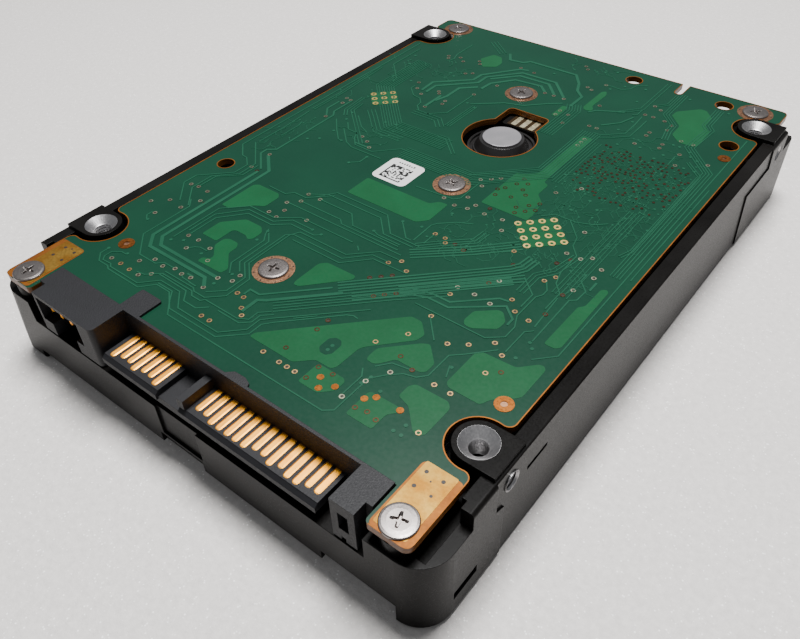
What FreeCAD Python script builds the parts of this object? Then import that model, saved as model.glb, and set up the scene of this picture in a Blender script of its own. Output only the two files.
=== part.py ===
import FreeCAD, Part
import os
from math import cos, radians, sin

# 2.5-inch hard disk drive, 15 mm tall, lying on its cover with the circuit board up.
# Millimetres. Origin at the middle of the cover's outer face, +X across the drive,
# +Y away from the plug end, +Z up towards the mounting holes.

# Outer size and mounting holes of the form factor
drive_width = 70.10
drive_length = 100.45
drive_height = 15.00
hole_across = 61.72
front_hole_from_plug_end = 14.00
rear_hole_from_plug_end = 90.60
side_hole_below_mount_face = 3.00
mount_hole_r = 1.25
mount_hole_depth = 3.4
side_hole_depth = 2.5

# Casting
rim_z = 1.9
skirt_z = 0.2
skirt_thick = 1.1
front_gap_half_x = 31.0
floor_top_z = 11.0
floor_thick = 1.3
rail_top_z = 14.4
rail_thick = 2.05
corner_top_z = 12.0
corner_wall = 1.5
plug_pocket_z = 8.7
plug_pocket_x = (-28.3, 27.3)
plug_pocket_y = -41.8
front_block_end_y = -43.2
rear_rail_end_y = 43.3
front_corner_r = 4.0
left_corner_foot_r = 1.0
rear_corner_r = 3.0
rear_slope_long = 1.5
rear_slope_drop = 1.1
edge_r = 0.5
lug_r = 2.8
lug_seat_r = 2.2

# Cover
cover_inset = 1.25
cover_thick = 1.5
cover_skin = 0.8
gasket_inset = 1.4
gasket_wide = 0.6
label_thick = 0.08
cover_screw_places = [
    (-31.0, -46.5), (31.0, -46.5), (-31.2, -13.0), (31.2, -17.5), (-31.0, 46.3), (31.0, 46.3),
]

# Circuit board
board_top_z = 14.6
board_thick = 0.9
board_half_x = 32.55
board_tab_half_x = 33.2
board_tab_inner_x = (-27.05, 27.35)
board_front_y = -44.9
board_tab_front_y = -49.85
board_rear_y = 48.5
board_slot_x = (15.55, 16.8)
board_slot_end_y = 44.6
lug_cutout_r = 3.5
motor_window_centre = (0.0, 15.3)
motor_window_r = 5.8
pad_window = (-3.7, 3.55, 24.5)
board_screw_places = [
    (-30.0, -47.9), (30.0, -47.9), (-28.9, 45.5), (28.9, 45.5),
    (-5.2, -28.9), (1.7, 0.1), (-4.9, 29.6),
]
board_holes = [(8.2, 45.1, 1.35), (24.0, 45.1, 1.35), (29.3, 33.3, 1.35), (-29.05, -15.2, 1.25)]
board_eyelets = [(-24.8, -36.7, 0.5), (30.0, -30.3, 0.5), (30.1, 29.4, 0.35)]

# Spindle and platters
spindle_x = 0.0
spindle_y = 16.0
platter_r = 32.5
platter_bore_r = 10.0
platter_thick = 0.8
platter_pitch = 2.2
first_platter_z = 2.9
platter_count = 3
spindle_shaft_r = 2.0
motor_bore_r = 8.0
flex_seat_z = 13.3
running_gap = 0.03

# Actuator
pivot_x = -11.5
pivot_y = -22.5
pivot_shaft_r = 1.5
parked_arm_angle = 18.8
coil_angle = 210.8
coil_half_angle = 16.0
arm_thick = 0.7
arm_length = 22.0
head_reach = 32.5
suspension_thick = 0.1
slider_thick = 0.23
coil_bottom_z = 4.0
coil_thick = 1.4
vcm_posts = [(25.0, 227.5, 2.2), (15.5, 286.0, 2.2), (19.7, 177.0, 1.6)]
ramp_screw_place = (25.2, -6.0)
ramp_foot_z = 8.5

# Plug
contact_pitch = 1.27
contact_face_z = 11.5
tongue_thick = 1.23
signal_first_x = -12.255
power_first_x = 2.35
tongue_front_y = -50.1
plug_wall_y = -45.35
plug_top_z = 14.95
plug_bottom_z = 8.9

half_width = drive_width / 2
front_y = -drive_length / 2
rear_y = drive_length / 2
lug_x = hole_across / 2
front_hole_y = front_y + front_hole_from_plug_end
rear_hole_y = front_y + rear_hole_from_plug_end
side_hole_z = drive_height - side_hole_below_mount_face
floor_z = floor_top_z - floor_thick
board_z = board_top_z - board_thick
lug_places = [(s * lug_x, y) for s in (-1, 1) for y in (front_hole_y, rear_hole_y)]
up = FreeCAD.Vector(0, 0, 1)


# ---- shapes used by many pieces ----

def box(x0, y0, z0, x1, y1, z1):
    return Part.makeBox(x1 - x0, y1 - y0, z1 - z0, FreeCAD.Vector(x0, y0, z0))


def rod(x, y, r, z0, z1):
    return Part.makeCylinder(r, z1 - z0, FreeCAD.Vector(x, y, z0))


def ring(x, y, outer_r, inner_r, z0, z1):
    return rod(x, y, outer_r, z0, z1).cut(rod(x, y, inner_r, z0, z1))


def cone(x, y, r_low, r_high, z0, z1):
    return Part.makeCone(r_low, r_high, z1 - z0, FreeCAD.Vector(x, y, z0))


def prism(points, z0, z1):
    corners = [FreeCAD.Vector(x, y, z0) for x, y in points]
    face = Part.Face(Part.makePolygon(corners + corners[:1]))
    return face.extrude(up * (z1 - z0))


def sector(x, y, outer_r, inner_r, start, end, z0, z1):
    piece = Part.makeCylinder(outer_r, z1 - z0, FreeCAD.Vector(x, y, z0), up, end - start)
    piece.rotate(FreeCAD.Vector(x, y, z0), up, start)
    return piece.cut(rod(x, y, inner_r, z0, z1))


def is_upright(edge):
    ends = [v.Point for v in edge.Vertexes]
    if len(ends) < 2:
        return False
    step = ends[1] - ends[0]
    return abs(step.x) < 1e-6 and abs(step.y) < 1e-6


def round_upright(shape, radius, wanted):
    edges = [e for e in shape.Edges if is_upright(e) and wanted(e.CenterOfMass)]
    return shape.makeFillet(radius, edges)


def plate(x0, y0, x1, y1, z0, z1, radius):
    return round_upright(box(x0, y0, z0, x1, y1, z1), radius, lambda p: True)


def join(pieces):
    return pieces[0].fuse(pieces[1:]).removeSplitter()


def from_pivot(radius, angle):
    a = radians(angle)
    return pivot_x + radius * cos(a), pivot_y + radius * sin(a)


def turned(shape, angle):
    shape.rotate(FreeCAD.Vector(pivot_x, pivot_y, 0), up, angle)
    return shape


def save(node, shape):
    shape.exportStep("parts/" + node + ".step")
    print(node, len(shape.Solids), round(shape.Volume, 2), shape.isValid())


def save_group(node, solids):
    save(node, Part.makeCompound(solids))


# ---- casting ----

def casting_outline():
    block = box(-half_width, front_y, skirt_z, half_width, rear_y, rail_top_z)
    block = round_upright(block, front_corner_r, lambda p: p.y < 0 < p.x)
    block = round_upright(block, rear_corner_r, lambda p: p.y > rear_y - 0.1)
    # the front left corner opens out to a tighter radius at its foot
    left = [e for e in block.Edges if is_upright(e) and e.CenterOfMass.y < 0 > e.CenterOfMass.x]
    block = block.makeFillet(left_corner_foot_r, front_corner_r, left)
    ends = (skirt_z, rail_top_z)
    rims = [e for e in block.Edges if not is_upright(e) and e.CenterOfMass.z in ends]
    return block.makeFillet(edge_r, rims)


def cover_recess():
    inner_x = half_width - skirt_thick
    inner_y = rear_y - skirt_thick
    below = skirt_z - 1
    return [
        plate(-inner_x, -inner_y, inner_x, inner_y, below, rim_z, front_corner_r - skirt_thick),
        box(-front_gap_half_x, front_y - 1, below, front_gap_half_x, -inner_y + 1, rim_z),
        box(-front_gap_half_x, inner_y - 1, below, front_gap_half_x, rear_y + 1, rim_z),
    ]


def rear_slope():
    # the rear top edge falls away under the board
    start = rear_y - rear_slope_long
    low = floor_top_z - rear_slope_drop
    beyond = rear_y + 1
    high = floor_top_z + 1
    corners = [(start, floor_top_z), (rear_y, low), (beyond, low), (beyond, high), (start, high)]
    wire = Part.makePolygon([FreeCAD.Vector(-half_width - 1, y, z) for y, z in corners + corners[:1]])
    return Part.Face(wire).extrude(FreeCAD.Vector(2 * half_width + 2, 0, 0))


def casting_open_top():
    x0, x1 = plug_pocket_x
    inner_x = half_width - rail_thick
    above = drive_height + 1
    cuts = [
        box(-inner_x, front_block_end_y, floor_top_z, inner_x, rear_y + 1, above),
        box(-half_width - 1, rear_rail_end_y, floor_top_z, half_width + 1, rear_y + 1, above),
        box(x0, front_y - 1, plug_pocket_z, x1, plug_pocket_y, above),
        box(-half_width - 1, front_y - 1, corner_top_z, half_width + 1, front_block_end_y, above),
        rear_slope(),
    ]
    for low, high in ((-half_width + corner_wall, x0 + 1), (x1 - 1, half_width - corner_wall)):
        cuts.append(box(low, front_y + corner_wall, floor_top_z, high, front_block_end_y + 1, above))
    return cuts


def casting_cavity():
    deep = floor_z
    shallow = plug_pocket_z - floor_thick
    return [
        rod(spindle_x, spindle_y, platter_r + 0.6, rim_z, deep),
        plate(-33.0, -40.5, 20.0, -8.0, rim_z, deep, 2.0),
        plate(-33.0, -22.0, 27.0, -4.0, rim_z, deep, 2.0),
        plate(-33.0, -47.0, 20.0, -20.0, rim_z, shallow, 2.0),
        plate(21.5, -44.0, 32.8, -23.0, rim_z, shallow, 2.0),
        plate(-32.6, 38.0, -25.0, 44.0, rim_z, deep, 1.5),
    ]


def side_panels():
    # shallow step cast into each long side, between the bearing pads of the side holes
    outline = [
        (-37.5, -1.0), (-37.5, 9.2), (-39.0, 9.8), (-39.0, 15.5), (36.3, 15.5),
        (37.5, 10.6), (28.3, 10.4), (30.7, -1.0),
    ]
    step = 0.2
    panels = []
    for side in (-1, 1):
        x = side * (half_width - step)
        corners = [FreeCAD.Vector(x, y, z) for y, z in outline]
        face = Part.Face(Part.makePolygon(corners + corners[:1]))
        panels.append(face.extrude(FreeCAD.Vector(side * (step + 1), 0, 0)))
    return panels


def front_recesses():
    wall = front_y - 1
    return [
        box(-4.3, wall, 4.0, 2.7, front_y + 0.3, plug_pocket_z + 1),
        box(-5.0, wall, rim_z - 1, 2.5, front_y + 0.5, 3.6),
        box(21.0, wall, rim_z - 1, 31.0, front_y + 0.6, 3.4),
        box(half_width - 0.5, -46.0, 3.0, half_width + 1, -42.0, 4.2),
        box(half_width - 0.5, -33.0, 10.2, half_width + 1, -29.0, 10.8),
    ]


def lug(x, y):
    side = 1 if x > 0 else -1
    outer = side * (half_width - 0.5)
    x0, x1 = sorted((x, outer))
    arm = box(x0, y - lug_r, floor_z + 1, x1, y + lug_r, drive_height)
    return join([rod(x, y, lug_r, floor_z + 1, drive_height), arm])


def mounting_hole(x, y):
    mouth = 0.9
    hole = rod(x, y, mount_hole_r, drive_height - mount_hole_depth, drive_height + 1)
    seat = cone(x, y, mount_hole_r, lug_seat_r, drive_height - mouth, drive_height)
    return hole.fuse(seat)


def side_hole(side, y):
    start = FreeCAD.Vector(side * (half_width + 1), y, side_hole_z)
    inward = FreeCAD.Vector(-side, 0, 0)
    return Part.makeCylinder(mount_hole_r, side_hole_depth + 1, start, inward)


def screw_boss(x, y):
    return rod(x, y, 2.0, plug_pocket_z, board_z)


def base_casting():
    body = casting_outline().cut(casting_open_top() + side_panels() + cover_recess())
    added = [lug(x, y) for x, y in lug_places]
    added += [screw_boss(x, y) for x, y in board_screw_places]
    added.append(plate(-3.6, 21.5, 3.4, 25.6, floor_top_z, flex_seat_z, 0.6))
    body = join([body] + added)
    body = body.cut(casting_cavity() + front_recesses())
    cover_boss = [rod(x, y, 2.4, rim_z, floor_z + 0.5) for x, y in cover_screw_places[2:4]]
    body = join([body] + cover_boss)
    cuts = [mounting_hole(x, y) for x, y in lug_places]
    cuts += [side_hole(s, y) for s in (-1, 1) for y in (front_hole_y, rear_hole_y)]
    cuts += [rod(x, y, 1.0, board_z - 3.2, board_z + 1) for x, y in board_screw_places]
    cuts += [rod(x, y, 1.0, rim_z - 1, 4.6) for x, y in cover_screw_places]
    cuts.append(rod(spindle_x, spindle_y, motor_bore_r, floor_z - 1, floor_top_z))
    cuts.append(rod(pivot_x, pivot_y, pivot_shaft_r, floor_z - 1, floor_z + 0.6))
    cuts.append(box(5.0, -35.0, floor_z - 1, 15.0, -31.0, floor_top_z + 1))
    cuts.append(rod(ramp_screw_place[0], ramp_screw_place[1], 0.8, floor_z - 1, floor_z + 1.0))
    return body.cut(cuts).removeSplitter()


# ---- cover side ----

def top_cover():
    x = half_width - cover_inset
    y = rear_y - cover_inset
    body = plate(-x, -y, x, y, 0, cover_thick, front_corner_r - cover_inset)
    lower = [e for e in body.Edges if not is_upright(e) and e.CenterOfMass.z < 0.01]
    body = body.makeFillet(0.4, lower)
    pocket = [
        rod(spindle_x, spindle_y, platter_r, cover_skin, cover_thick + 1),
        plate(-32.0, -46.0, 19.0, -9.0, cover_skin, cover_thick + 1, 2.0),
    ]
    body = body.cut(pocket)
    bosses = [
        rod(spindle_x, spindle_y, 3.5, 0.5, cover_thick),
        rod(pivot_x, pivot_y, 3.5, 0.5, cover_thick),
        rod(cover_screw_places[2][0], cover_screw_places[2][1], 2.6, 0.5, cover_thick),
    ]
    body = join([body] + bosses)
    cuts = [label_shape(0, label_thick)]
    for hole_x, hole_y in all_cover_screws():
        cuts.append(rod(hole_x, hole_y, 1.05, -1, cover_thick + 1))
        cuts.append(cone(hole_x, hole_y, 2.1, 1.05, 0, 1.0))
    cuts.append(rod(27.0, -33.0, 0.7, -1, cover_thick + 1))
    return body.cut(cuts).removeSplitter()


def all_cover_screws():
    return cover_screw_places + [(spindle_x, spindle_y), (pivot_x, pivot_y)]


def label_shape(z0, z1):
    body = plate(-28.0, -41.0, 24.0, 43.0, z0, z1, 1.5)
    return body.cut([rod(x, y, 3.0, -1, 2) for x, y in all_cover_screws()])


def cover_gasket():
    outer_x = half_width - gasket_inset
    outer_y = rear_y - gasket_inset
    r = front_corner_r - gasket_inset
    w = gasket_wide
    outer = plate(-outer_x, -outer_y, outer_x, outer_y, cover_thick, rim_z, r)
    inner = plate(-outer_x + w, -outer_y + w, outer_x - w, outer_y - w, cover_thick, rim_z, r - w)
    return outer.cut(inner)


def cover_screw(x, y):
    head = cone(x, y, 1.9, 1.0, 0.1, 0.9)
    shank = rod(x, y, 1.0, 0.5, 4.4)
    # six-lobed socket
    socket = [rod(x, y, 0.55, 0, 0.7)]
    for i in range(6):
        a = radians(60 * i)
        socket.append(rod(x + 0.55 * cos(a), y + 0.55 * sin(a), 0.22, 0, 0.7))
    return join([head, shank]).cut(socket)


# ---- spindle motor ----

def motor_flange():
    x, y = spindle_x, spindle_y
    parts = [
        rod(x, y, motor_bore_r, floor_z, floor_top_z),
        rod(x, y, 5.4, floor_top_z, 12.9),
        cone(x, y, 4.3, 3.5, 12.9, 14.2),
        ring(x, y, 4.4, 3.9, 5.0, floor_z),
    ]
    body = join(parts)
    groove = ring(x, y, 5.0, 4.5, 12.5, 13.5)
    shaft_hole = rod(x, y, spindle_shaft_r, floor_z - 1, 12.4)
    return body.cut([groove, shaft_hole])


def motor_end_cap():
    body = rod(spindle_x, spindle_y, 3.05, 14.2, 14.5)
    top = [e for e in body.Edges if e.CenterOfMass.z > 14.49]
    return body.makeFillet(0.1, top)


def motor_flex():
    return box(-2.6, 21.6, flex_seat_z, 2.5, 25.5, flex_seat_z + 0.15)


def spindle_shaft():
    shaft = rod(spindle_x, spindle_y, spindle_shaft_r, cover_thick, 12.4)
    return shaft.cut(rod(spindle_x, spindle_y, 1.0, cover_thick, 4.6))


def bearing_sleeve():
    return ring(spindle_x, spindle_y, 3.6, spindle_shaft_r + running_gap, 2.6, 8.6)


def spindle_hub():
    x, y = spindle_x, spindle_y
    z = first_platter_z + (platter_count - 1) * platter_pitch + platter_thick
    body = join([rod(x, y, platter_bore_r, 2.5, z), rod(x, y, 12.3, z, z + 1.0)])
    holes = [rod(x, y, 3.6, 2, 10), rod(x, y, 8.6, 4.0, 10)]
    for screw_x, screw_y in clamp_screw_places():
        holes.append(rod(screw_x, screw_y, 0.7, 2, 3.6))
    return body.cut(holes)


def rotor_magnet():
    return ring(spindle_x, spindle_y, 8.6, 7.75, 4.6, 8.9)


def stator_core():
    x, y = spindle_x, spindle_y
    pieces = [ring(x, y, 5.2, 4.4, 5.2, 8.0)]
    for i in range(9):
        tooth = box(x + 5.0, y - 0.5, 5.2, x + 7.0, y + 0.5, 8.0)
        shoe = sector(x, y, 7.5, 6.9, -14, 14, 5.2, 8.0)
        both = tooth.fuse(shoe)
        both.rotate(FreeCAD.Vector(x, y, 0), up, 40 * i)
        pieces.append(both)
    return join(pieces)


def stator_coils():
    x, y = spindle_x, spindle_y
    coils = []
    for i in range(9):
        outer = box(x + 5.3, y - 0.95, 4.75, x + 6.8, y + 0.95, 8.45)
        coil = outer.cut(box(x + 5.0, y - 0.5, 5.2, x + 7.0, y + 0.5, 8.0))
        coil.rotate(FreeCAD.Vector(x, y, 0), up, 40 * i)
        coils.append(coil)
    return coils


def platter(index):
    z = first_platter_z + index * platter_pitch
    body = ring(spindle_x, spindle_y, platter_r, platter_bore_r, z, z + platter_thick)
    rim = [e for e in body.Edges if abs(e.Length - 2 * 3.14159265 * platter_r) < 0.01]
    return body.makeChamfer(0.1, rim)


def disk_spacer(index):
    z = first_platter_z + index * platter_pitch + platter_thick
    return ring(spindle_x, spindle_y, 12.0, platter_bore_r, z, z + platter_pitch - platter_thick)


def clamp_screw_places():
    places = []
    for i in range(6):
        a = radians(60 * i + 30)
        places.append((spindle_x + 6.2 * cos(a), spindle_y + 6.2 * sin(a)))
    return places


def disk_clamp():
    x, y = spindle_x, spindle_y
    body = ring(x, y, 12.0, 3.9, 1.95, first_platter_z).cut(rod(x, y, platter_bore_r, 2.5, 3.5))
    return body.cut([rod(sx, sy, 0.75, 1, 3) for sx, sy in clamp_screw_places()])


def clamp_screw(x, y):
    head = rod(x, y, 1.4, 1.6, 1.95)
    slot = box(x - 0.9, y - 0.15, 1.5, x + 0.9, y + 0.15, 1.75)
    return join([head, rod(x, y, 0.7, 1.8, 3.5)]).cut(slot)


# ---- actuator ----

def arm_levels():
    middle = first_platter_z + platter_thick / 2 - platter_pitch / 2
    return [middle + i * platter_pitch for i in range(platter_count + 1)]


def pivot_shaft():
    shaft = rod(pivot_x, pivot_y, pivot_shaft_r, cover_thick, floor_z + 0.6)
    collar = ring(pivot_x, pivot_y, 2.6, pivot_shaft_r, 9.4, floor_z)
    return join([shaft, collar]).cut(rod(pivot_x, pivot_y, 1.0, cover_thick, 4.6))


def pivot_bearings():
    inner = pivot_shaft_r + running_gap
    return [ring(pivot_x, pivot_y, 3.2, inner, z, z + 1.8) for z in (2.1, 7.2)]


def pivot_sleeve():
    return ring(pivot_x, pivot_y, 4.4, 3.2, 1.95, 9.2)


def arm(level):
    z0 = level - arm_thick / 2
    outline = [
        (4.8, -4.6), (15.0, -3.3), (arm_length, -2.3), (arm_length, 2.3), (15.0, 3.3), (4.8, 4.6),
    ]
    body = prism([(pivot_x + x, pivot_y + y) for x, y in outline], z0, z0 + arm_thick)
    opening = [(9.5, -1.6), (16.0, -0.9), (16.0, 0.9), (9.5, 1.6)]
    body = body.cut(prism([(pivot_x + x, pivot_y + y) for x, y in opening], z0, z0 + arm_thick))
    return turned(body, parked_arm_angle)


def actuator_block():
    levels = arm_levels()
    z0 = levels[0] - arm_thick / 2
    z1 = levels[-1] + arm_thick / 2
    pieces = [ring(pivot_x, pivot_y, 6.4, 4.4, z0, z1)]
    pieces += [arm(level) for level in levels]
    for side in (-1, 1):
        angle = coil_angle + side * 14
        lever = box(pivot_x + 5.2, pivot_y - 0.8, coil_bottom_z, pivot_x + 11.0, pivot_y + 0.8,
                    coil_bottom_z + coil_thick)
        pieces.append(turned(lever, angle))
    body = join(pieces)
    return body.cut([rod(pivot_x, pivot_y, 4.4, z0 - 1, z1 + 1), overmold_outline()])


def coil_body(outer_r, inner_r, half_angle, z0, z1):
    return sector(pivot_x, pivot_y, outer_r, inner_r, coil_angle - half_angle,
                  coil_angle + half_angle, z0, z1)


def overmold_outline():
    return coil_body(21.3, 10.6, coil_half_angle + 3, coil_bottom_z, coil_bottom_z + coil_thick)


def voice_coil():
    z0, z1 = coil_bottom_z, coil_bottom_z + coil_thick
    body = coil_body(20.6, 11.4, coil_half_angle, z0, z1)
    body = round_upright(body, 1.2, lambda p: True)
    return body.cut(coil_body(17.6, 13.6, 6.5, z0, z1))


def coil_overmold():
    z0, z1 = coil_bottom_z, coil_bottom_z + coil_thick
    body = overmold_outline()
    coil = round_upright(coil_body(20.6, 11.4, coil_half_angle, z0 - 1, z1 + 1), 1.2, lambda p: True)
    bobbin = coil_body(17.6, 13.6, 6.5, z0, z1)
    return [body.cut(coil), bobbin]


def suspension(index):
    # heads are numbered from the cover side: even ones look up at a platter, odd ones down
    level = arm_levels()[(index + 1) // 2]
    if index % 2 == 0:
        z0 = level + arm_thick / 2
    else:
        z0 = level - arm_thick / 2 - suspension_thick
    outline = [
        (17.5, -2.2), (arm_length, -2.2), (head_reach + 0.5, -0.9), (head_reach + 0.9, -0.25),
        (head_reach + 2.9, -0.25), (head_reach + 2.9, 0.25), (head_reach + 0.9, 0.25),
        (head_reach + 0.5, 0.9), (arm_length, 2.2), (17.5, 2.2),
    ]
    body = prism([(pivot_x + x, pivot_y + y) for x, y in outline], z0, z0 + suspension_thick)
    return turned(body, parked_arm_angle)


def head_slider(index):
    level = arm_levels()[(index + 1) // 2]
    reach = arm_thick / 2 + suspension_thick
    z0 = level + reach if index % 2 == 0 else level - reach - slider_thick
    x = pivot_x + head_reach
    body = box(x - 0.62, pivot_y - 0.5, z0, x + 0.62, pivot_y + 0.5, z0 + slider_thick)
    return turned(body, parked_arm_angle)


def preamp_chip():
    body = box(pivot_x - 1.4, pivot_y + 6.4, 4.4, pivot_x + 1.4, pivot_y + 7.0, 6.6)
    body = body.cut(rod(pivot_x, pivot_y, 6.4, 4, 7))
    return turned(body, -150)


def vcm_plate(z0, z1):
    pieces = [sector(pivot_x, pivot_y, 21.3, 9.4, 178, 279, z0, z1)]
    for reach, angle, eye_r in vcm_posts:
        x, y = from_pivot(reach, angle)
        root = min(reach, 20.0)
        strip = box(pivot_x + root - 1, pivot_y - 1.4, z0, pivot_x + reach, pivot_y + 1.4, z1)
        pieces += [rod(x, y, eye_r, z0, z1), turned(strip, angle)]
    return join(pieces)


def vcm_post(reach, angle):
    x, y = from_pivot(reach, angle)
    return rod(x, y, 1.2, 2.95, 6.45)


def vcm_magnets():
    magnets = []
    for z0 in (2.95, 5.65):
        for start in (191.0, 229.0):
            magnets.append(sector(pivot_x, pivot_y, 21.0, 11.0, start, start + 37, z0, z0 + 0.8))
    return magnets


def latch_arm():
    z0, z1 = coil_bottom_z, coil_bottom_z + 1.2
    x, y = latch_pin_place()
    tip_x, tip_y = x - 5.1, y + 2.7
    bar = prism([(x - 0.6, y - 1.3), (tip_x - 0.4, tip_y - 0.7), (tip_x + 0.4, tip_y + 0.7),
                 (x + 0.6, y + 1.3)], z0, z1)
    hook = prism([(tip_x - 0.7, tip_y), (tip_x + 0.7, tip_y - 0.3), (tip_x + 0.9, tip_y + 1.3),
                  (tip_x + 0.2, tip_y + 1.3)], z0, z1)
    body = join([rod(x, y, 1.6, z0, z1), rod(tip_x, tip_y, 0.8, z0, z1), bar, hook])
    return body.cut(rod(x, y, 0.6 + running_gap, z0 - 1, z1 + 1))


def latch_pin_place():
    return -20.5, -44.9


def latch_pin():
    x, y = latch_pin_place()
    head = rod(x, y, 1.1, coil_bottom_z - 0.6, coil_bottom_z - 0.1)
    return join([rod(x, y, 0.6, coil_bottom_z - 0.6, plug_pocket_z - floor_thick), head])


def crash_stops():
    edge = coil_half_angle + 3
    swing = 35.0
    gap_angle = 4.9
    stops = []
    for angle in (coil_angle - edge - gap_angle, coil_angle + edge + swing + gap_angle):
        x, y = from_pivot(16.0, angle)
        stops.append(rod(x, y, 1.2, 3.75, 5.65))
    return stops


def load_ramp():
    start = parked_arm_angle - 3.5
    end = parked_arm_angle + 3.0
    tab_gap = 0.05
    rise = (platter_pitch - platter_thick - arm_thick) / 2 - suspension_thick - tab_gap
    post = sector(pivot_x, pivot_y, head_reach + 6.5, head_reach + 3.5, start, end, 2.0, floor_z)
    pieces = [post]
    for index in range(platter_count):
        z = first_platter_z + index * platter_pitch
        pieces.append(sector(pivot_x, pivot_y, head_reach + 4.0, head_reach + 0.95, start, end,
                             z - rise, z + platter_thick + rise))
    x, y = ramp_screw_place
    foot = prism([(24.4, -12.6), (26.6, -11.0), (x + 1.7, y), (x - 1.7, y), (22.4, -8.6)],
                 ramp_foot_z, floor_z)
    body = join(pieces + [foot, rod(x, y, 1.7, ramp_foot_z, floor_z)])
    cuts = [
        rod(spindle_x, spindle_y, platter_r + 0.35, 0, ramp_foot_z),
        rod(x, y, 1.35, 8, ramp_foot_z + 0.4),
        rod(x, y, 0.8, 8, floor_z + 1),
    ]
    return body.cut(cuts)


def ramp_screw():
    x, y = ramp_screw_place
    head = rod(x, y, 1.3, ramp_foot_z + 0.05, ramp_foot_z + 0.4)
    slot = box(x - 0.8, y - 0.15, 8, x + 0.8, y + 0.15, ramp_foot_z + 0.2)
    return join([head, rod(x, y, 0.8, ramp_foot_z + 0.2, floor_z + 0.95)]).cut(slot)


# ---- the rest of the inside ----

def flex_bracket():
    return join([box(4.5, -36.0, 4.0, 16.0, -30.0, 4.6), box(4.5, -30.6, 2.6, 16.0, -30.0, 9.0)])


def flex_cable():
    # thin ribbon standing on edge: leaves the bracket, makes one free loop beside the pivot
    z0, z1 = 3.6, 7.0
    loop = ring(-0.6, -33.0, 3.9, 3.7, z0, z1).cut(box(-6.0, -40.0, 3.0, -0.6, -26.0, 8.0))
    tail = box(-2.6, -29.3, z0, -0.6, -29.1, z1)
    lead = box(-0.6, -36.9, z0, 8.0, -36.7, z1)
    return join([loop, tail, lead])


def bulkhead_connector():
    body = box(5.0, -35.0, 7.4, 15.0, -31.0, 12.6)
    return body.cut(box(5.8, -34.2, 12.0, 14.2, -31.8, 13.0))


def recirculation_filter():
    return plate(-31.9, 38.6, -26.4, 43.2, 2.6, 9.2, 0.8).cut(
        rod(spindle_x, spindle_y, platter_r + 0.4, 0, 12))


def breather_filter():
    body = plate(22.0, -43.5, 32.2, -24.0, 2.1, 7.0, 1.5)
    return body.cut(rod(27.0, -33.0, 0.7, 2, 4))


# ---- electronics ----

def circuit_board():
    half = board_half_x
    tab = board_tab_half_x
    z0, z1 = board_z, board_top_z
    pieces = [box(-half, board_front_y, z0, half, board_rear_y, z1)]
    for side, inner in zip((-1, 1), board_tab_inner_x):
        x0, x1 = sorted((inner, side * half))
        pieces.append(box(x0, board_tab_front_y, z0, x1, board_front_y + 1, z1))
        x0, x1 = sorted((side * 20, side * tab))
        pieces.append(box(x0, rear_hole_y, z0, x1, board_rear_y, z1))
    body = join(pieces)
    body = body.cut([rod(x, y, lug_cutout_r, z0 - 1, z1 + 1) for x, y in lug_places])
    body = round_upright(body, 1.0, lambda p: abs(p.x) > half - 0.1)
    body = round_upright(body, 0.6, lambda p: abs(p.x) < 28.1 and p.y < board_front_y - 1)
    slot_x0, slot_x1 = board_slot_x
    slot_r = (slot_x1 - slot_x0) / 2
    cuts = [
        box(slot_x0, board_slot_end_y + slot_r, z0 - 1, slot_x1, rear_y, z1 + 1),
        rod(slot_x0 + slot_r, board_slot_end_y + slot_r, slot_r, z0 - 1, z1 + 1),
        rod(motor_window_centre[0], motor_window_centre[1], motor_window_r, z0 - 1, z1 + 1),
        plate(pad_window[0], motor_window_centre[1], pad_window[1], pad_window[2],
              z0 - 1, z1 + 1, 0.8),
    ]
    cuts += [rod(x, y, r, z0 - 1, z1 + 1) for x, y, r in board_holes + board_eyelets]
    cuts += [rod(x, y, 1.15, z0 - 1, z1 + 1) for x, y in board_screw_places]
    return body.cut(cuts).removeSplitter()


def pcb_insulator():
    body = plate(-30.0, -38.0, 30.0, 42.5, floor_top_z, 12.2, 2.0)
    cuts = [rod(x, y, 3.6, 10, 13) for x, y in lug_places]
    cuts += [rod(x, y, 2.6, 10, 13) for x, y in board_screw_places]
    cuts += [rod(x, y, r + 0.8, 10, 13) for x, y, r in board_holes]
    cuts.append(plate(-6.5, 9.0, 6.5, 26.6, 10, 13, 1.5))
    cuts.append(box(4.0, -36.0, 10, 16.0, -30.0, 13))
    return body.cut(cuts)


def chip(x, y, wide, long, tall):
    return plate(x - wide / 2, y - long / 2, x + wide / 2, y + long / 2, board_z - tall, board_z, 0.3)


def memory_chips():
    return [chip(9.0, -14.0, 8.0, 10.0, 1.0), chip(24.5, -8.0, 5.0, 6.0, 0.9)]


def board_passives():
    parts = []
    for i in range(6):
        parts.append(chip(-24.0 + 3.2 * i, -21.0, 1.6, 0.8, 0.8))
        parts.append(chip(-20.0 + 3.2 * i, 36.0, 1.6, 0.8, 0.8))
    for x, y in ((-26.0, -6.0), (26.0, 36.5)):
        parts.append(chip(x, y, 2.4, 2.8, 1.2))
    return parts


def pcb_screw(x, y):
    head_z = board_top_z
    head = rod(x, y, 2.0, head_z, drive_height)
    rim = [e for e in head.Edges if e.CenterOfMass.z > drive_height - 0.01]
    head = head.makeFillet(0.15, rim)
    shank = rod(x, y, 1.0, board_z - 3.0, head_z + 0.1)
    arms = []
    for angle in (0, 90):
        slot = box(x - 0.85, y - 0.2, drive_height - 0.3, x + 0.85, y + 0.2, drive_height + 1)
        slot.rotate(FreeCAD.Vector(x, y, 0), up, angle + 20)
        arms.append(slot)
    return join([head, shank]).cut(arms)


# ---- plug ----

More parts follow.
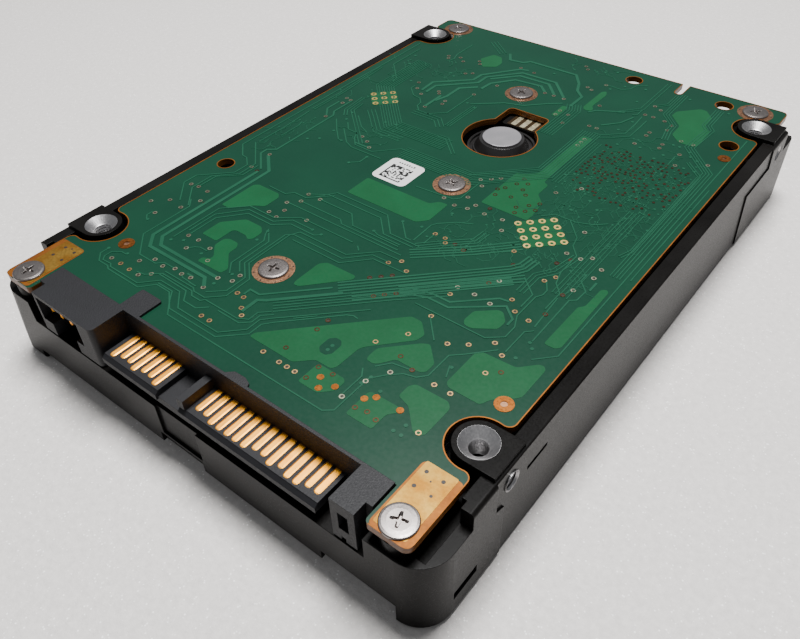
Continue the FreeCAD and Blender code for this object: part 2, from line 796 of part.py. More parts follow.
def drive_plug():
    wall = plug_wall_y
    face = contact_face_z
    low = face - tongue_thick
    flange_z = board_top_z
    top = plug_top_z
    x0, x1 = -26.9, 27.2
    power_end = power_first_x + 14 * contact_pitch + 0.92
    pieces = [
        box(x0, wall, plug_bottom_z, x1, board_front_y - 0.05, top),
        box(x0, board_front_y - 0.05, plug_bottom_z + 0.3, x1, plug_pocket_y - 0.4, board_z - 0.05),
        box(x0, tongue_front_y - 0.05, plug_bottom_z, -13.95, wall, top),
        box(23.3, tongue_front_y, plug_bottom_z, x1, wall, top),
        round_upright(box(-15.1, wall, flange_z, -11.45, -41.5, top), 0.3, lambda p: p.y > -42),
        prism([(3.0, wall), (7.2, wall), (6.8, -44.5), (5.9, -44.15), (4.3, -44.2)], flange_z, top),
        box(-13.3, tongue_front_y, low, -3.45, wall, face),
        box(0.4, tongue_front_y, low, power_end, wall, face),
        box(0.4, tongue_front_y + 0.3, face, 1.45, wall, 13.0),
        box(-3.45, tongue_front_y + 0.3, 9.7, 0.4, wall, 10.6),
        box(-4.6, tongue_front_y + 0.3, 9.5, 1.6, wall, low + 0.1),
    ]
    body = join(pieces)
    body = round_upright(body, 0.7, lambda p: abs(p.x + 13.95) < 0.01 and p.y < wall - 1)
    below = plug_bottom_z - 1
    openings = [
        box(-25.3, front_y - 1, 10.9, -16.8, -46.0, 14.4),
        box(-23.4, front_y - 1, below, -18.4, -47.0, 11.0),
        box(x0 - 1, front_y - 1, below, -25.8, -48.2, top + 1),
        box(26.4, front_y - 1, below, x1 + 1, -48.35, top + 1),
        box(24.2, front_y - 1, 10.8, 25.5, -49.2, 13.4),
        box(24.4, front_y - 1, below, 25.0, -49.6, 9.5),
    ]
    bevels = []
    for low_x, high_x in ((-13.3, -3.45), (0.4, power_end)):
        bevels.append(box(low_x - 0.1, tongue_front_y - 0.4, face - 0.35, high_x + 0.1,
                          tongue_front_y + 0.35, face + 0.1))
    for bevel in bevels:
        centre = bevel.BoundBox.Center
        bevel.rotate(FreeCAD.Vector(centre.x, tongue_front_y, face), FreeCAD.Vector(1, 0, 0), 40)
    return body.cut(openings + bevels).removeSplitter()


def contact_ends():
    short_y = -48.9
    long_y = -49.4
    ends = []
    for i in range(7):
        ends.append((signal_first_x + i * contact_pitch, long_y if i in (0, 3, 6) else short_y))
    for i in range(15):
        long = i in (2, 3, 4, 5, 6, 9, 11, 12)
        ends.append((power_first_x + i * contact_pitch, long_y if long else short_y))
    return ends


def plug_contacts():
    wide = 0.84
    proud = 0.08
    strips = []
    for x, end_y in contact_ends():
        strips.append(box(x - wide / 2, end_y, contact_face_z, x + wide / 2, plug_wall_y,
                          contact_face_z + proud))
    back_pitch = 0.8
    for i in range(7):
        x = -1.5 + (i - 3) * back_pitch
        strips.append(box(x - 0.25, -49.3, 9.42, x + 0.25, plug_wall_y, 9.5))
    return strips


def diagnostic_pins():
    pins = []
    for i in range(4):
        x = -24.4 + 2.0 * i
        pins.append(box(x - 0.25, -49.2, 11.8, x + 0.25, -46.0, 12.3))
    return pins


def board_sticker():
    return plate(-9.5, -4.8, -3.5, 1.2, board_top_z, board_top_z + 0.08, 0.9)


# ---- write every piece ----

save("base_casting", base_casting())
save("top_cover", top_cover())
save("cover_gasket", cover_gasket())
save_group("cover_screws", [cover_screw(x, y) for x, y in all_cover_screws()])
save("cover_label", label_shape(0, label_thick))

save("motor_flange", motor_flange())
save("motor_end_cap", motor_end_cap())
save("motor_flex", motor_flex())
save("spindle_shaft", spindle_shaft())
save("bearing_sleeve", bearing_sleeve())
save("spindle_hub", spindle_hub())
save("rotor_magnet", rotor_magnet())
save("stator_core", stator_core())
save_group("stator_coils", stator_coils())
for index in range(platter_count):
    save("platter_" + str(index + 1), platter(index))
for index in range(platter_count - 1):
    save("disk_spacer_" + str(index + 1), disk_spacer(index))
save("disk_clamp", disk_clamp())
save_group("clamp_screws", [clamp_screw(x, y) for x, y in clamp_screw_places()])

save("pivot_shaft", pivot_shaft())
save_group("pivot_bearings", pivot_bearings())
save("pivot_sleeve", pivot_sleeve())
save("actuator_block", actuator_block())
save("voice_coil", voice_coil())
save_group("coil_overmold", coil_overmold())
for index in range(2 * platter_count):
    save("suspension_" + str(index + 1), suspension(index))
save_group("head_sliders", [head_slider(index) for index in range(2 * platter_count)])
save("preamp_chip", preamp_chip())

save("vcm_cover_plate", vcm_plate(1.95, 2.95))
save("vcm_base_plate", vcm_plate(6.45, 7.35))
save_group("vcm_magnets", vcm_magnets())
save_group("vcm_posts", [vcm_post(reach, angle) for reach, angle, eye_r in vcm_posts])
save_group("crash_stops", crash_stops())
save("latch_arm", latch_arm())
save("latch_pin", latch_pin())

save("load_ramp", load_ramp())
save("ramp_screw", ramp_screw())

save("flex_bracket", flex_bracket())
save("flex_cable", flex_cable())
save("bulkhead_connector", bulkhead_connector())
save("recirculation_filter", recirculation_filter())
save("breather_filter", breather_filter())

save("circuit_board", circuit_board())
save("pcb_insulator", pcb_insulator())
save("controller_chip", chip(22.0, 17.5, 14.0, 14.0, 1.2))
save("motor_driver_chip", chip(-18.0, 18.0, 8.0, 8.0, 1.0))
save_group("memory_chips", memory_chips())
save_group("board_passives", board_passives())
save_group("pcb_screws", [pcb_screw(x, y) for x, y in board_screw_places])

save("drive_plug", drive_plug())
save_group("plug_contacts", plug_contacts())
save_group("diagnostic_pins", diagnostic_pins())
save("board_sticker", board_sticker())
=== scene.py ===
import random
from math import cos, pi, radians, sin

import bpy
from mathutils import Matrix, Vector


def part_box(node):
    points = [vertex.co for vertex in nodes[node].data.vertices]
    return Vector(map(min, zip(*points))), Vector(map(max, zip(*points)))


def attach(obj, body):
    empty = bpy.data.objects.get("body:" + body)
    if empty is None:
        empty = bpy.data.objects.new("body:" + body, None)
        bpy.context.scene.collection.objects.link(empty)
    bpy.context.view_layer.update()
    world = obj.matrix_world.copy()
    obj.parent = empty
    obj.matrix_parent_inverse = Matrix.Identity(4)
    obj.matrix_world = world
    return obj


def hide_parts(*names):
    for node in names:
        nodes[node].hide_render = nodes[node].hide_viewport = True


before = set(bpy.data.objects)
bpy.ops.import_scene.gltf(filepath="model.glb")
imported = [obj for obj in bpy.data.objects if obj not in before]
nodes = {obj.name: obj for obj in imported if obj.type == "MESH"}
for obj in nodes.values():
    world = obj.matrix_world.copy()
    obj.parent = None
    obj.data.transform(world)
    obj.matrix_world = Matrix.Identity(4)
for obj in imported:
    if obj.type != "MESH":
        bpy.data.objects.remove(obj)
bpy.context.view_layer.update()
mm = 0.001
mainBody = "drive_body"


def topOf(node):
    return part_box(node)[1].z / mm


boardTop = topOf("circuit_board")
print("frame loaded, board face at", round(boardTop, 2), "mm")

# ---------- camera, light and floor

studio = {
    "azimuth": 39.494, "elevation": 42.89, "roll": -1.85, "distance": 101.004,
    "target": (8.252, -20.474, 7.2), "lens": 34.758,
    "keyFrom": (-10, 50, 420), "keySize": 170, "keyPower": 5.2,
    "worldStrength": 0.3,
}


def makeCamera():
    az, el, roll = (radians(studio[k]) for k in ("azimuth", "elevation", "roll"))
    back = Vector((sin(az) * cos(el), -cos(az) * cos(el), sin(el)))
    right = Vector((cos(az), sin(az), 0))
    up = back.cross(right)
    across = right * cos(roll) + up * sin(roll)
    above = up * cos(roll) - right * sin(roll)
    data = bpy.data.cameras.new("camera")
    data.lens = studio["lens"]
    data.sensor_width = 36
    data.clip_start = 0.005
    camera = bpy.data.objects.new("camera", data)
    place = (Vector(studio["target"]) + back * studio["distance"]) * mm
    turn = Matrix((across, above, back)).transposed()
    camera.matrix_world = Matrix.Translation(place) @ turn.to_4x4()
    bpy.context.collection.objects.link(camera)
    bpy.context.scene.camera = camera


def makeLight(name, place, size, power, aim=(0, 0, 10), tint=(1, 1, 1)):
    data = bpy.data.lights.new(name, "AREA")
    data.shape = "DISK"
    data.size = size * mm
    data.energy = power
    data.color = tint
    lamp = bpy.data.objects.new(name, data)
    start, end = Vector(place) * mm, Vector(aim) * mm
    lamp.location = start
    lamp.rotation_euler = (end - start).to_track_quat("-Z", "Y").to_euler()
    bpy.context.collection.objects.link(lamp)


def makeStudio():
    makeLight("keyLight", studio["keyFrom"], studio["keySize"], studio["keyPower"])
    world = bpy.data.worlds.new("studioWorld")
    bpy.context.scene.world = world
    world.use_nodes = True
    sky = world.node_tree.nodes["Background"]
    sky.inputs["Color"].default_value = (0.93, 0.96, 1.0, 1)
    sky.inputs["Strength"].default_value = studio["worldStrength"]


# ---------- material building blocks

class Finish:
    # small helper that wires one material's nodes
    def __init__(self, name):
        self.material = bpy.data.materials.new(name)
        self.material.use_nodes = True
        self.tree = self.material.node_tree
        self.shader = self.tree.nodes["Principled BSDF"]
        self.coords = self.add("ShaderNodeTexCoord").outputs["Object"]

    def add(self, kind, **values):
        node = self.tree.nodes.new(kind)
        for key, value in values.items():
            setattr(node, key, value)
        return node

    def feed(self, socket, value):
        if hasattr(value, "is_output"):
            self.tree.links.new(value, socket)
        else:
            socket.default_value = value

    def set(self, **values):
        for key, value in values.items():
            self.feed(self.shader.inputs[key.replace("_", " ")], value)

    def noise(self, perMm, detail=3.0, roughness=0.5, distortion=0.0, vector=None):
        node = self.add("ShaderNodeTexNoise")
        self.feed(node.inputs["Vector"], vector or self.coords)
        node.inputs["Scale"].default_value = perMm / mm
        node.inputs["Detail"].default_value = detail
        node.inputs["Roughness"].default_value = roughness
        node.inputs["Distortion"].default_value = distortion
        return node.outputs["Fac"]

    def cells(self, perMm, feature="F1", randomness=1.0):
        node = self.add("ShaderNodeTexVoronoi", feature=feature)
        self.feed(node.inputs["Vector"], self.coords)
        node.inputs["Scale"].default_value = perMm / mm
        node.inputs["Randomness"].default_value = randomness
        return node.outputs["Distance"]

    def stretch(self, x, y, z):
        node = self.add("ShaderNodeMapping")
        self.feed(node.inputs["Vector"], self.coords)
        node.inputs["Scale"].default_value = (x, y, z)
        return node.outputs["Vector"]

    def span(self, value, low, high, fromLow=0.0, fromHigh=1.0):
        node = self.add("ShaderNodeMapRange")
        self.feed(node.inputs["Value"], value)
        node.inputs["From Min"].default_value = fromLow
        node.inputs["From Max"].default_value = fromHigh
        node.inputs["To Min"].default_value = low
        node.inputs["To Max"].default_value = high
        return node.outputs["Result"]

    def math(self, operation, a, b=0.0):
        node = self.add("ShaderNodeMath", operation=operation)
        self.feed(node.inputs[0], a)
        self.feed(node.inputs[1], b)
        return node.outputs[0]

    def blendColors(self, share, first, second):
        node = self.add("ShaderNodeMix", data_type="RGBA")
        self.feed(node.inputs["Factor"], share)
        self.feed(node.inputs["A"], first)
        self.feed(node.inputs["B"], second)
        return node.outputs["Result"]

    def bump(self, height, strength, depth, under=None):
        node = self.add("ShaderNodeBump")
        node.inputs["Strength"].default_value = strength
        node.inputs["Distance"].default_value = depth * mm
        self.feed(node.inputs["Height"], height)
        if under is not None:
            self.feed(node.inputs["Normal"], under)
        return node.outputs["Normal"]

    def softEdges(self, radius):
        node = self.add("ShaderNodeBevel", samples=6)
        node.inputs["Radius"].default_value = radius * mm
        return node.outputs["Normal"]

    def facing(self):
        # how far the true surface normal points up, 1 on a flat top
        geometry = self.add("ShaderNodeNewGeometry")
        parts = self.add("ShaderNodeSeparateXYZ")
        self.feed(parts.inputs[0], geometry.outputs["True Normal"])
        return parts.outputs["Z"]


def rgb(red, green, blue):
    return (red, green, blue, 1.0)


# ---------- finishes

coatLook = {"dark": rgb(0.0030, 0.0027, 0.0025), "worn": rgb(0.0065, 0.0060, 0.0056), "edge": 0.12,
            "sheen": 0.055}


def blackCoatFinish():
    f = Finish("blackCoat")
    cloud = f.noise(0.12, 4)
    grain = f.noise(4.5, 4, 0.65)
    f.set(Base_Color=f.blendColors(f.span(cloud, 0, 1, 0.35, 0.7), coatLook["dark"], coatLook["worn"]))
    f.set(Roughness=f.span(grain, 0.24, 0.42, 0.3, 0.7))
    f.set(Normal=f.bump(grain, 0.22, 0.035, f.softEdges(coatLook["edge"])))
    f.set(Specular_IOR_Level=coatLook["sheen"])
    return f.material


boardLook = {
    "mask": rgb(0.0022, 0.030, 0.0150), "maskDeep": rgb(0.0016, 0.024, 0.0125),
    "laminate": rgb(0.15, 0.055, 0.008), "laminateDark": rgb(0.05, 0.018, 0.004),
}


def boardFinish():
    f = Finish("boardLaminate")
    weave = f.add("ShaderNodeTexWave", wave_type="BANDS", bands_direction="DIAGONAL")
    f.feed(weave.inputs["Vector"], f.coords)
    weave.inputs["Scale"].default_value = 0.9 / mm
    weave.inputs["Distortion"].default_value = 1.5
    cloud = f.noise(0.08, 3)
    green = f.blendColors(f.span(cloud, 0, 1, 0.3, 0.7), boardLook["mask"], boardLook["maskDeep"])
    layers = f.noise(1.0, 2, 0.5, vector=f.stretch(0.4, 0.4, 9.0))
    brown = f.blendColors(f.span(layers, 0, 1, 0.35, 0.65), boardLook["laminate"],
                          boardLook["laminateDark"])
    flat = f.math("ABSOLUTE", f.facing())
    isFace = f.math("GREATER_THAN", flat, 0.7)
    f.set(Base_Color=f.blendColors(isFace, brown, green))
    f.set(Roughness=f.span(f.noise(2.0, 3), 0.29, 0.33, 0.3, 0.7), Specular_IOR_Level=0.2)
    f.set(Normal=f.bump(weave.outputs["Fac"], 0.04, 0.006))
    return f.material


def maskedCopperFinish(name, bright, dim):
    f = Finish(name)
    cloud = f.noise(0.25, 3)
    f.set(Base_Color=f.blendColors(f.span(cloud, 0, 1, 0.3, 0.7), bright, dim))
    f.set(Roughness=f.span(f.noise(2.2, 3), 0.29, 0.34, 0.3, 0.7), Specular_IOR_Level=0.2)
    f.set(Normal=f.bump(f.noise(1.6, 2), 0.03, 0.01))
    return f.material


def metalFinish(name, bright, dim, rough=(0.2, 0.4), perMm=3.0, pull=(1, 1, 1), depth=0.01,
                edge=0.0, metallic=1.0):
    f = Finish(name)
    tone = f.noise(0.5, 4)
    grain = f.noise(perMm, 4, 0.6, vector=f.stretch(*pull))
    f.set(Base_Color=f.blendColors(f.span(tone, 0, 1, 0.35, 0.65), bright, dim))
    f.set(Roughness=f.span(grain, rough[0], rough[1], 0.3, 0.7), Metallic=metallic)
    under = f.softEdges(edge) if edge else None
    f.set(Normal=f.bump(grain, 0.25, depth, under))
    return f.material


def plasticFinish(name, bright, dim, rough=(0.4, 0.55), perMm=6.0, depth=0.02, edge=0.05,
                  strength=0.35):
    f = Finish(name)
    tone = f.noise(0.3, 3)
    grain = f.noise(perMm, 3, 0.6)
    f.set(Base_Color=f.blendColors(f.span(tone, 0, 1, 0.3, 0.7), bright, dim))
    f.set(Roughness=f.span(grain, rough[0], rough[1], 0.3, 0.7))
    under = f.softEdges(edge) if edge else None
    f.set(Normal=f.bump(grain, strength, depth, under), Specular_IOR_Level=0.28)
    return f.material


def floorFinish():
    f = Finish("paleFloor")
    grit = f.noise(1.1, 5, 0.7)
    paper = f.blendColors(f.span(grit, 0, 1, 0.25, 0.75), rgb(0.68, 0.650, 0.625), rgb(0.53, 0.507, 0.487))
    sparkle = f.span(f.cells(1.9), 1, 0, 0.05, 0.28)
    rare = f.math("GREATER_THAN", f.noise(0.9, 3), 0.52)
    f.set(Base_Color=f.blendColors(f.math("MULTIPLY", sparkle, rare), paper, rgb(0.95, 0.94, 0.92)))
    f.set(Roughness=f.span(grit, 0.4, 0.7, 0.3, 0.7))
    f.set(Normal=f.bump(f.noise(0.9, 6, 0.75), 0.9, 0.22))
    return f.material


look = {
    "casting": blackCoatFinish(),
    "board": boardFinish(),
    "areas": maskedCopperFinish("maskedArea", rgb(0.0040, 0.056, 0.0200), rgb(0.0032, 0.048, 0.0170)),
    "traces": maskedCopperFinish("maskedTrace", rgb(0.0075, 0.055, 0.0290), rgb(0.0055, 0.046, 0.0240)),
    "goldPad": metalFinish("goldPad", rgb(0.25, 0.145, 0.028), rgb(0.20, 0.088, 0.012), (0.42, 0.55)),
    "copperPad": metalFinish("copperPad", rgb(0.23, 0.080, 0.017), rgb(0.18, 0.058, 0.012), (0.3, 0.5)),
    "paleGold": metalFinish("paleGold", rgb(0.62, 0.47, 0.17), rgb(0.54, 0.38, 0.12), (0.35, 0.5)),
    "fineTraces": maskedCopperFinish("fineTrace", rgb(0.0050, 0.043, 0.0220), rgb(0.0040, 0.036, 0.0190)),
    "amber": metalFinish("laminateEdge", rgb(0.20, 0.066, 0.005), rgb(0.14, 0.042, 0.003), (0.5, 0.6),
                         metallic=0.75),
    "tinRing": metalFinish("tinRing", rgb(0.30, 0.16, 0.09), rgb(0.24, 0.12, 0.07), (0.3, 0.5)),
    "viaRing": metalFinish("viaRing", rgb(0.25, 0.27, 0.19), rgb(0.19, 0.19, 0.13), (0.3, 0.5)),
    "viaDark": metalFinish("viaDark", rgb(0.060, 0.036, 0.020), rgb(0.045, 0.026, 0.014), (0.35, 0.5)),
    "solder": metalFinish("solderFill", rgb(0.10, 0.045, 0.015), rgb(0.07, 0.03, 0.01), (0.3, 0.5)),
    "flexPad": metalFinish("flexPad", rgb(0.85, 0.78, 0.55), rgb(0.72, 0.64, 0.42), (0.3, 0.45)),
    "viaGold": metalFinish("viaGold", rgb(0.36, 0.24, 0.11), rgb(0.28, 0.18, 0.08), (0.3, 0.5)),
    # near-black finish for flat discs over via and pad holes: the shade inside each open hole, painted on
    "paintedHoleShade": plasticFinish("drilledHolePaintedShade", rgb(0.012, 0.008, 0.006), rgb(0.02, 0.012, 0.008), edge=0),
    "screw": metalFinish("screwSteel", rgb(0.25, 0.225, 0.215), rgb(0.20, 0.18, 0.17), (0.28, 0.42),
                         5.0, edge=0.05),
    "gold": metalFinish("contactGold", rgb(0.92, 0.43, 0.042), rgb(0.82, 0.35, 0.030), (0.42, 0.56),
                        6.0, (1, 0.15, 1), 0.012),
    "plug": plasticFinish("plugPlastic", rgb(0.0045, 0.0045, 0.0060), rgb(0.0032, 0.0032, 0.0044),
                          (0.5, 0.66), 6.0, 0.06, 0.06, 0.6),
    "motorBlack": metalFinish("motorBlack", rgb(0.012, 0.011, 0.011), rgb(0.018, 0.017, 0.017),
                              (0.25, 0.4), 6.0, edge=0.1, metallic=0.4),
    "motorCap": metalFinish("motorCap", rgb(0.20, 0.192, 0.20), rgb(0.175, 0.17, 0.178), (0.45, 0.6),
                            8.0, edge=0.05, metallic=0.6),
    "flex": plasticFinish("flexFilm", rgb(0.022, 0.012, 0.004), rgb(0.016, 0.009, 0.003), (0.3, 0.4)),
    "bareMetal": metalFinish("machinedCasting", rgb(0.40, 0.39, 0.39), rgb(0.32, 0.315, 0.32),
                             (0.3, 0.45), 5.0),
    "paper": plasticFinish("stickerPaper", rgb(0.50, 0.50, 0.49), rgb(0.46, 0.46, 0.45), (0.5, 0.6)),
    "ink": plasticFinish("printInk", rgb(0.004, 0.004, 0.004), rgb(0.006, 0.006, 0.006),
                         (0.4, 0.5), edge=0),
    "cover": metalFinish("coverPlate", rgb(0.52, 0.53, 0.54), rgb(0.46, 0.47, 0.48), (0.3, 0.45),
                         2.0, (1, 0.08, 1), 0.012, edge=0.1),
    "rubber": plasticFinish("blackRubber", rgb(0.02, 0.02, 0.02), rgb(0.028, 0.028, 0.028), (0.6, 0.8)),
    "steel": metalFinish("groundSteel", rgb(0.6, 0.6, 0.61), rgb(0.52, 0.52, 0.53), (0.2, 0.35)),
    "aluminium": metalFinish("turnedAluminium", rgb(0.72, 0.73, 0.74), rgb(0.64, 0.65, 0.66),
                             (0.22, 0.36)),
    "mirror": metalFinish("platterFace", rgb(0.66, 0.66, 0.66), rgb(0.62, 0.62, 0.63), (0.03, 0.07)),
    "copper": metalFinish("windingWire", rgb(0.62, 0.26, 0.10), rgb(0.5, 0.2, 0.07), (0.25, 0.4)),
    "plastic": plasticFinish("innerPlastic", rgb(0.07, 0.07, 0.07), rgb(0.05, 0.05, 0.05)),
    "white": plasticFinish("rampPlastic", rgb(0.62, 0.60, 0.53), rgb(0.56, 0.54, 0.48)),
    "chip": plasticFinish("chipEpoxy", rgb(0.02, 0.02, 0.022), rgb(0.028, 0.028, 0.03)),
    "ceramic": plasticFinish("capCeramic", rgb(0.30, 0.22, 0.15), rgb(0.24, 0.18, 0.12)),
    "foam": plasticFinish("foamSheet", rgb(0.02, 0.02, 0.02), rgb(0.03, 0.03, 0.03), (0.8, 0.95),
                          3.0, 0.2),
    "felt": plasticFinish("filterFelt", rgb(0.62, 0.62, 0.58), rgb(0.54, 0.54, 0.5), (0.85, 0.95),
                          4.0, 0.2),
}

nodeLooks = {
    "casting": ["base_casting"], "board": ["circuit_board"], "cover": ["top_cover"],
    "rubber": ["cover_gasket", "crash_stops"],
    "screw": ["cover_screws", "clamp_screws", "ramp_screw", "pcb_screws"],
    "paper": ["cover_label", "board_sticker"], "motorBlack": ["motor_flange"],
    "motorCap": ["motor_end_cap"], "flex": ["motor_flex", "flex_cable"],
    "steel": ["stator_core", "spindle_shaft", "bearing_sleeve", "pivot_shaft", "pivot_bearings",
              "pivot_sleeve", "vcm_cover_plate", "vcm_base_plate", "vcm_posts", "vcm_magnets",
              "rotor_magnet", "latch_pin", "flex_bracket"],
    "copper": ["stator_coils", "voice_coil"],
    "aluminium": ["spindle_hub", "disk_clamp", "disk_spacer_1", "disk_spacer_2", "actuator_block"],
    "mirror": ["platter_1", "platter_2", "platter_3"],
    "plastic": ["coil_overmold", "latch_arm", "head_sliders"], "white": ["load_ramp"],
    "chip": ["preamp_chip", "controller_chip", "motor_driver_chip", "memory_chips"],
    "ceramic": ["board_passives"], "foam": ["pcb_insulator"],
    "felt": ["recirculation_filter", "breather_filter"],
    "plug": ["drive_plug", "bulkhead_connector"], "gold": ["plug_contacts", "diagnostic_pins"],
}
for count in range(1, 7):
    nodeLooks["steel"].append("suspension_" + str(count))

for key, names in nodeLooks.items():
    for name in names:
        nodes[name].data.materials.clear()
        nodes[name].data.materials.append(look[key])
print("finishes assigned to", sum(len(n) for n in nodeLooks.values()), "frame pieces")


# ---------- mesh building blocks, all in millimetres

def moved(route, distance):
    # the same route shifted sideways, to the left of its direction
    last = len(route) - 1
    result = []
    for i, (x, y) in enumerate(route):
        into = Vector(route[max(i, 1)]) - Vector(route[max(i, 1) - 1])
        out = Vector(route[min(i, last - 1) + 1]) - Vector(route[min(i, last - 1)])
        into.normalize()
        out.normalize()
        middle = (into + out).normalized()
        grow = distance / max(0.4, middle.dot(into))
        result.append((x - middle.y * grow, y + middle.x * grow))
    return result


class Shape:
    def __init__(self):
        self.points = []
        self.faces = []

    def loop(self, outline, z):
        start = len(self.points)
        self.points += [(x, y, z) for x, y in outline]
        return list(range(start, len(self.points)))

    def bridge(self, low, high):
        total = len(low)
        for i in range(total):
            j = (i + 1) % total
            self.faces.append((low[i], low[j], high[j], high[i]))

    def plate(self, outline, z0, z1):
        # closed flat plate with an outline given anticlockwise
        low, high = self.loop(outline, z0), self.loop(outline, z1)
        self.faces += [tuple(reversed(low)), tuple(high)]
        self.bridge(low, high)

    def turned(self, x, y, profile, steps=24):
        # closed ring or disc from a profile of radius and height, listed inside to outside to inside
        rings = []
        for r, z in profile:
            circle = [(x + r * cos(2 * pi * i / steps), y + r * sin(2 * pi * i / steps))
                      for i in range(steps)]
            rings.append(self.loop(circle, z))
        for first, second in zip(rings, rings[1:] + rings[:1]):
            self.bridge(first, second)

    def disc(self, x, y, r, z0, z1, steps=16):
        circle = [(x + r * cos(2 * pi * i / steps), y + r * sin(2 * pi * i / steps))
                  for i in range(steps)]
        self.plate(circle, z0, z1)

    def ring(self, x, y, outer, inner, z0, z1, steps=20):
        self.turned(x, y, [(outer, z0), (outer, z1), (inner, z1), (inner, z0)], steps)

    def trace(self, route, width, z0, z1):
        # flat ribbon with mitred corners, its upper edges drawn in a little
        lean = 0.25 * (z1 - z0)
        last = len(route) - 1
        lowLeft, lowRight = (self.loop(moved(route, d), z0) for d in (width / 2, -width / 2))
        inner = width / 2 - lean
        highLeft, highRight = (self.loop(moved(route, d), z1) for d in (inner, -inner))
        for i in range(last):
            j = i + 1
            self.faces.append((highRight[i], highRight[j], highLeft[j], highLeft[i]))
            self.faces.append((lowLeft[i], lowLeft[j], lowRight[j], lowRight[i]))
            self.faces.append((highLeft[i], highLeft[j], lowLeft[j], lowLeft[i]))
            self.faces.append((lowRight[i], lowRight[j], highRight[j], highRight[i]))
        self.faces.append((lowLeft[0], lowRight[0], highRight[0], highLeft[0]))
        self.faces.append((highLeft[last], highRight[last], lowRight[last], lowLeft[last]))

    def piece(self, name, finish, body=mainBody):
        mesh = bpy.data.meshes.new(name)
        mesh.from_pydata([(x * mm, y * mm, z * mm) for x, y, z in self.points], [], self.faces)
        mesh.validate()
        made = bpy.data.objects.new(name, mesh)
        bpy.context.collection.objects.link(made)
        mesh.materials.append(look[finish])
        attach(made, body)
        return made


def rounded(corners, radius, steps=5):
    # outline with every corner turned into an arc
    outline = []
    total = len(corners)
    for i in range(total):
        here = Vector(corners[i])
        before = Vector(corners[i - 1]) - here
        after = Vector(corners[(i + 1) % total]) - here
        reach = min(radius, 0.45 * before.length, 0.45 * after.length)
        start = here + before.normalized() * reach
        end = here + after.normalized() * reach
        for k in range(steps + 1):
            t = k / steps
            point = start * (1 - t) ** 2 + here * 2 * t * (1 - t) + end * t ** 2
            outline.append((point.x, point.y))
    return outline


def rectangle(x0, y0, x1, y1):
    return [(x0, y0), (x1, y0), (x1, y1), (x0, y1)]


makeCamera()
makeStudio()
floorShape = Shape()
floorShape.plate(rectangle(-900, -900, 900, 900), -1.0, 0.0)
floorMesh = bpy.data.meshes.new("floor")
floorMesh.from_pydata([(x * mm, y * mm, z * mm) for x, y, z in floorShape.points], [], floorShape.faces)
floor = bpy.data.objects.new("floor", floorMesh)
bpy.context.collection.objects.link(floor)
floorMesh.materials.append(floorFinish())
print("studio ready")

# ---------- board artwork: copper areas and traces under the green mask

copperRise = {"area": 0.025, "trace": 0.04, "ring": 0.05, "bare": 0.055}
base = boardTop - 0.01


def at(kind):
    return boardTop + copperRise[kind]


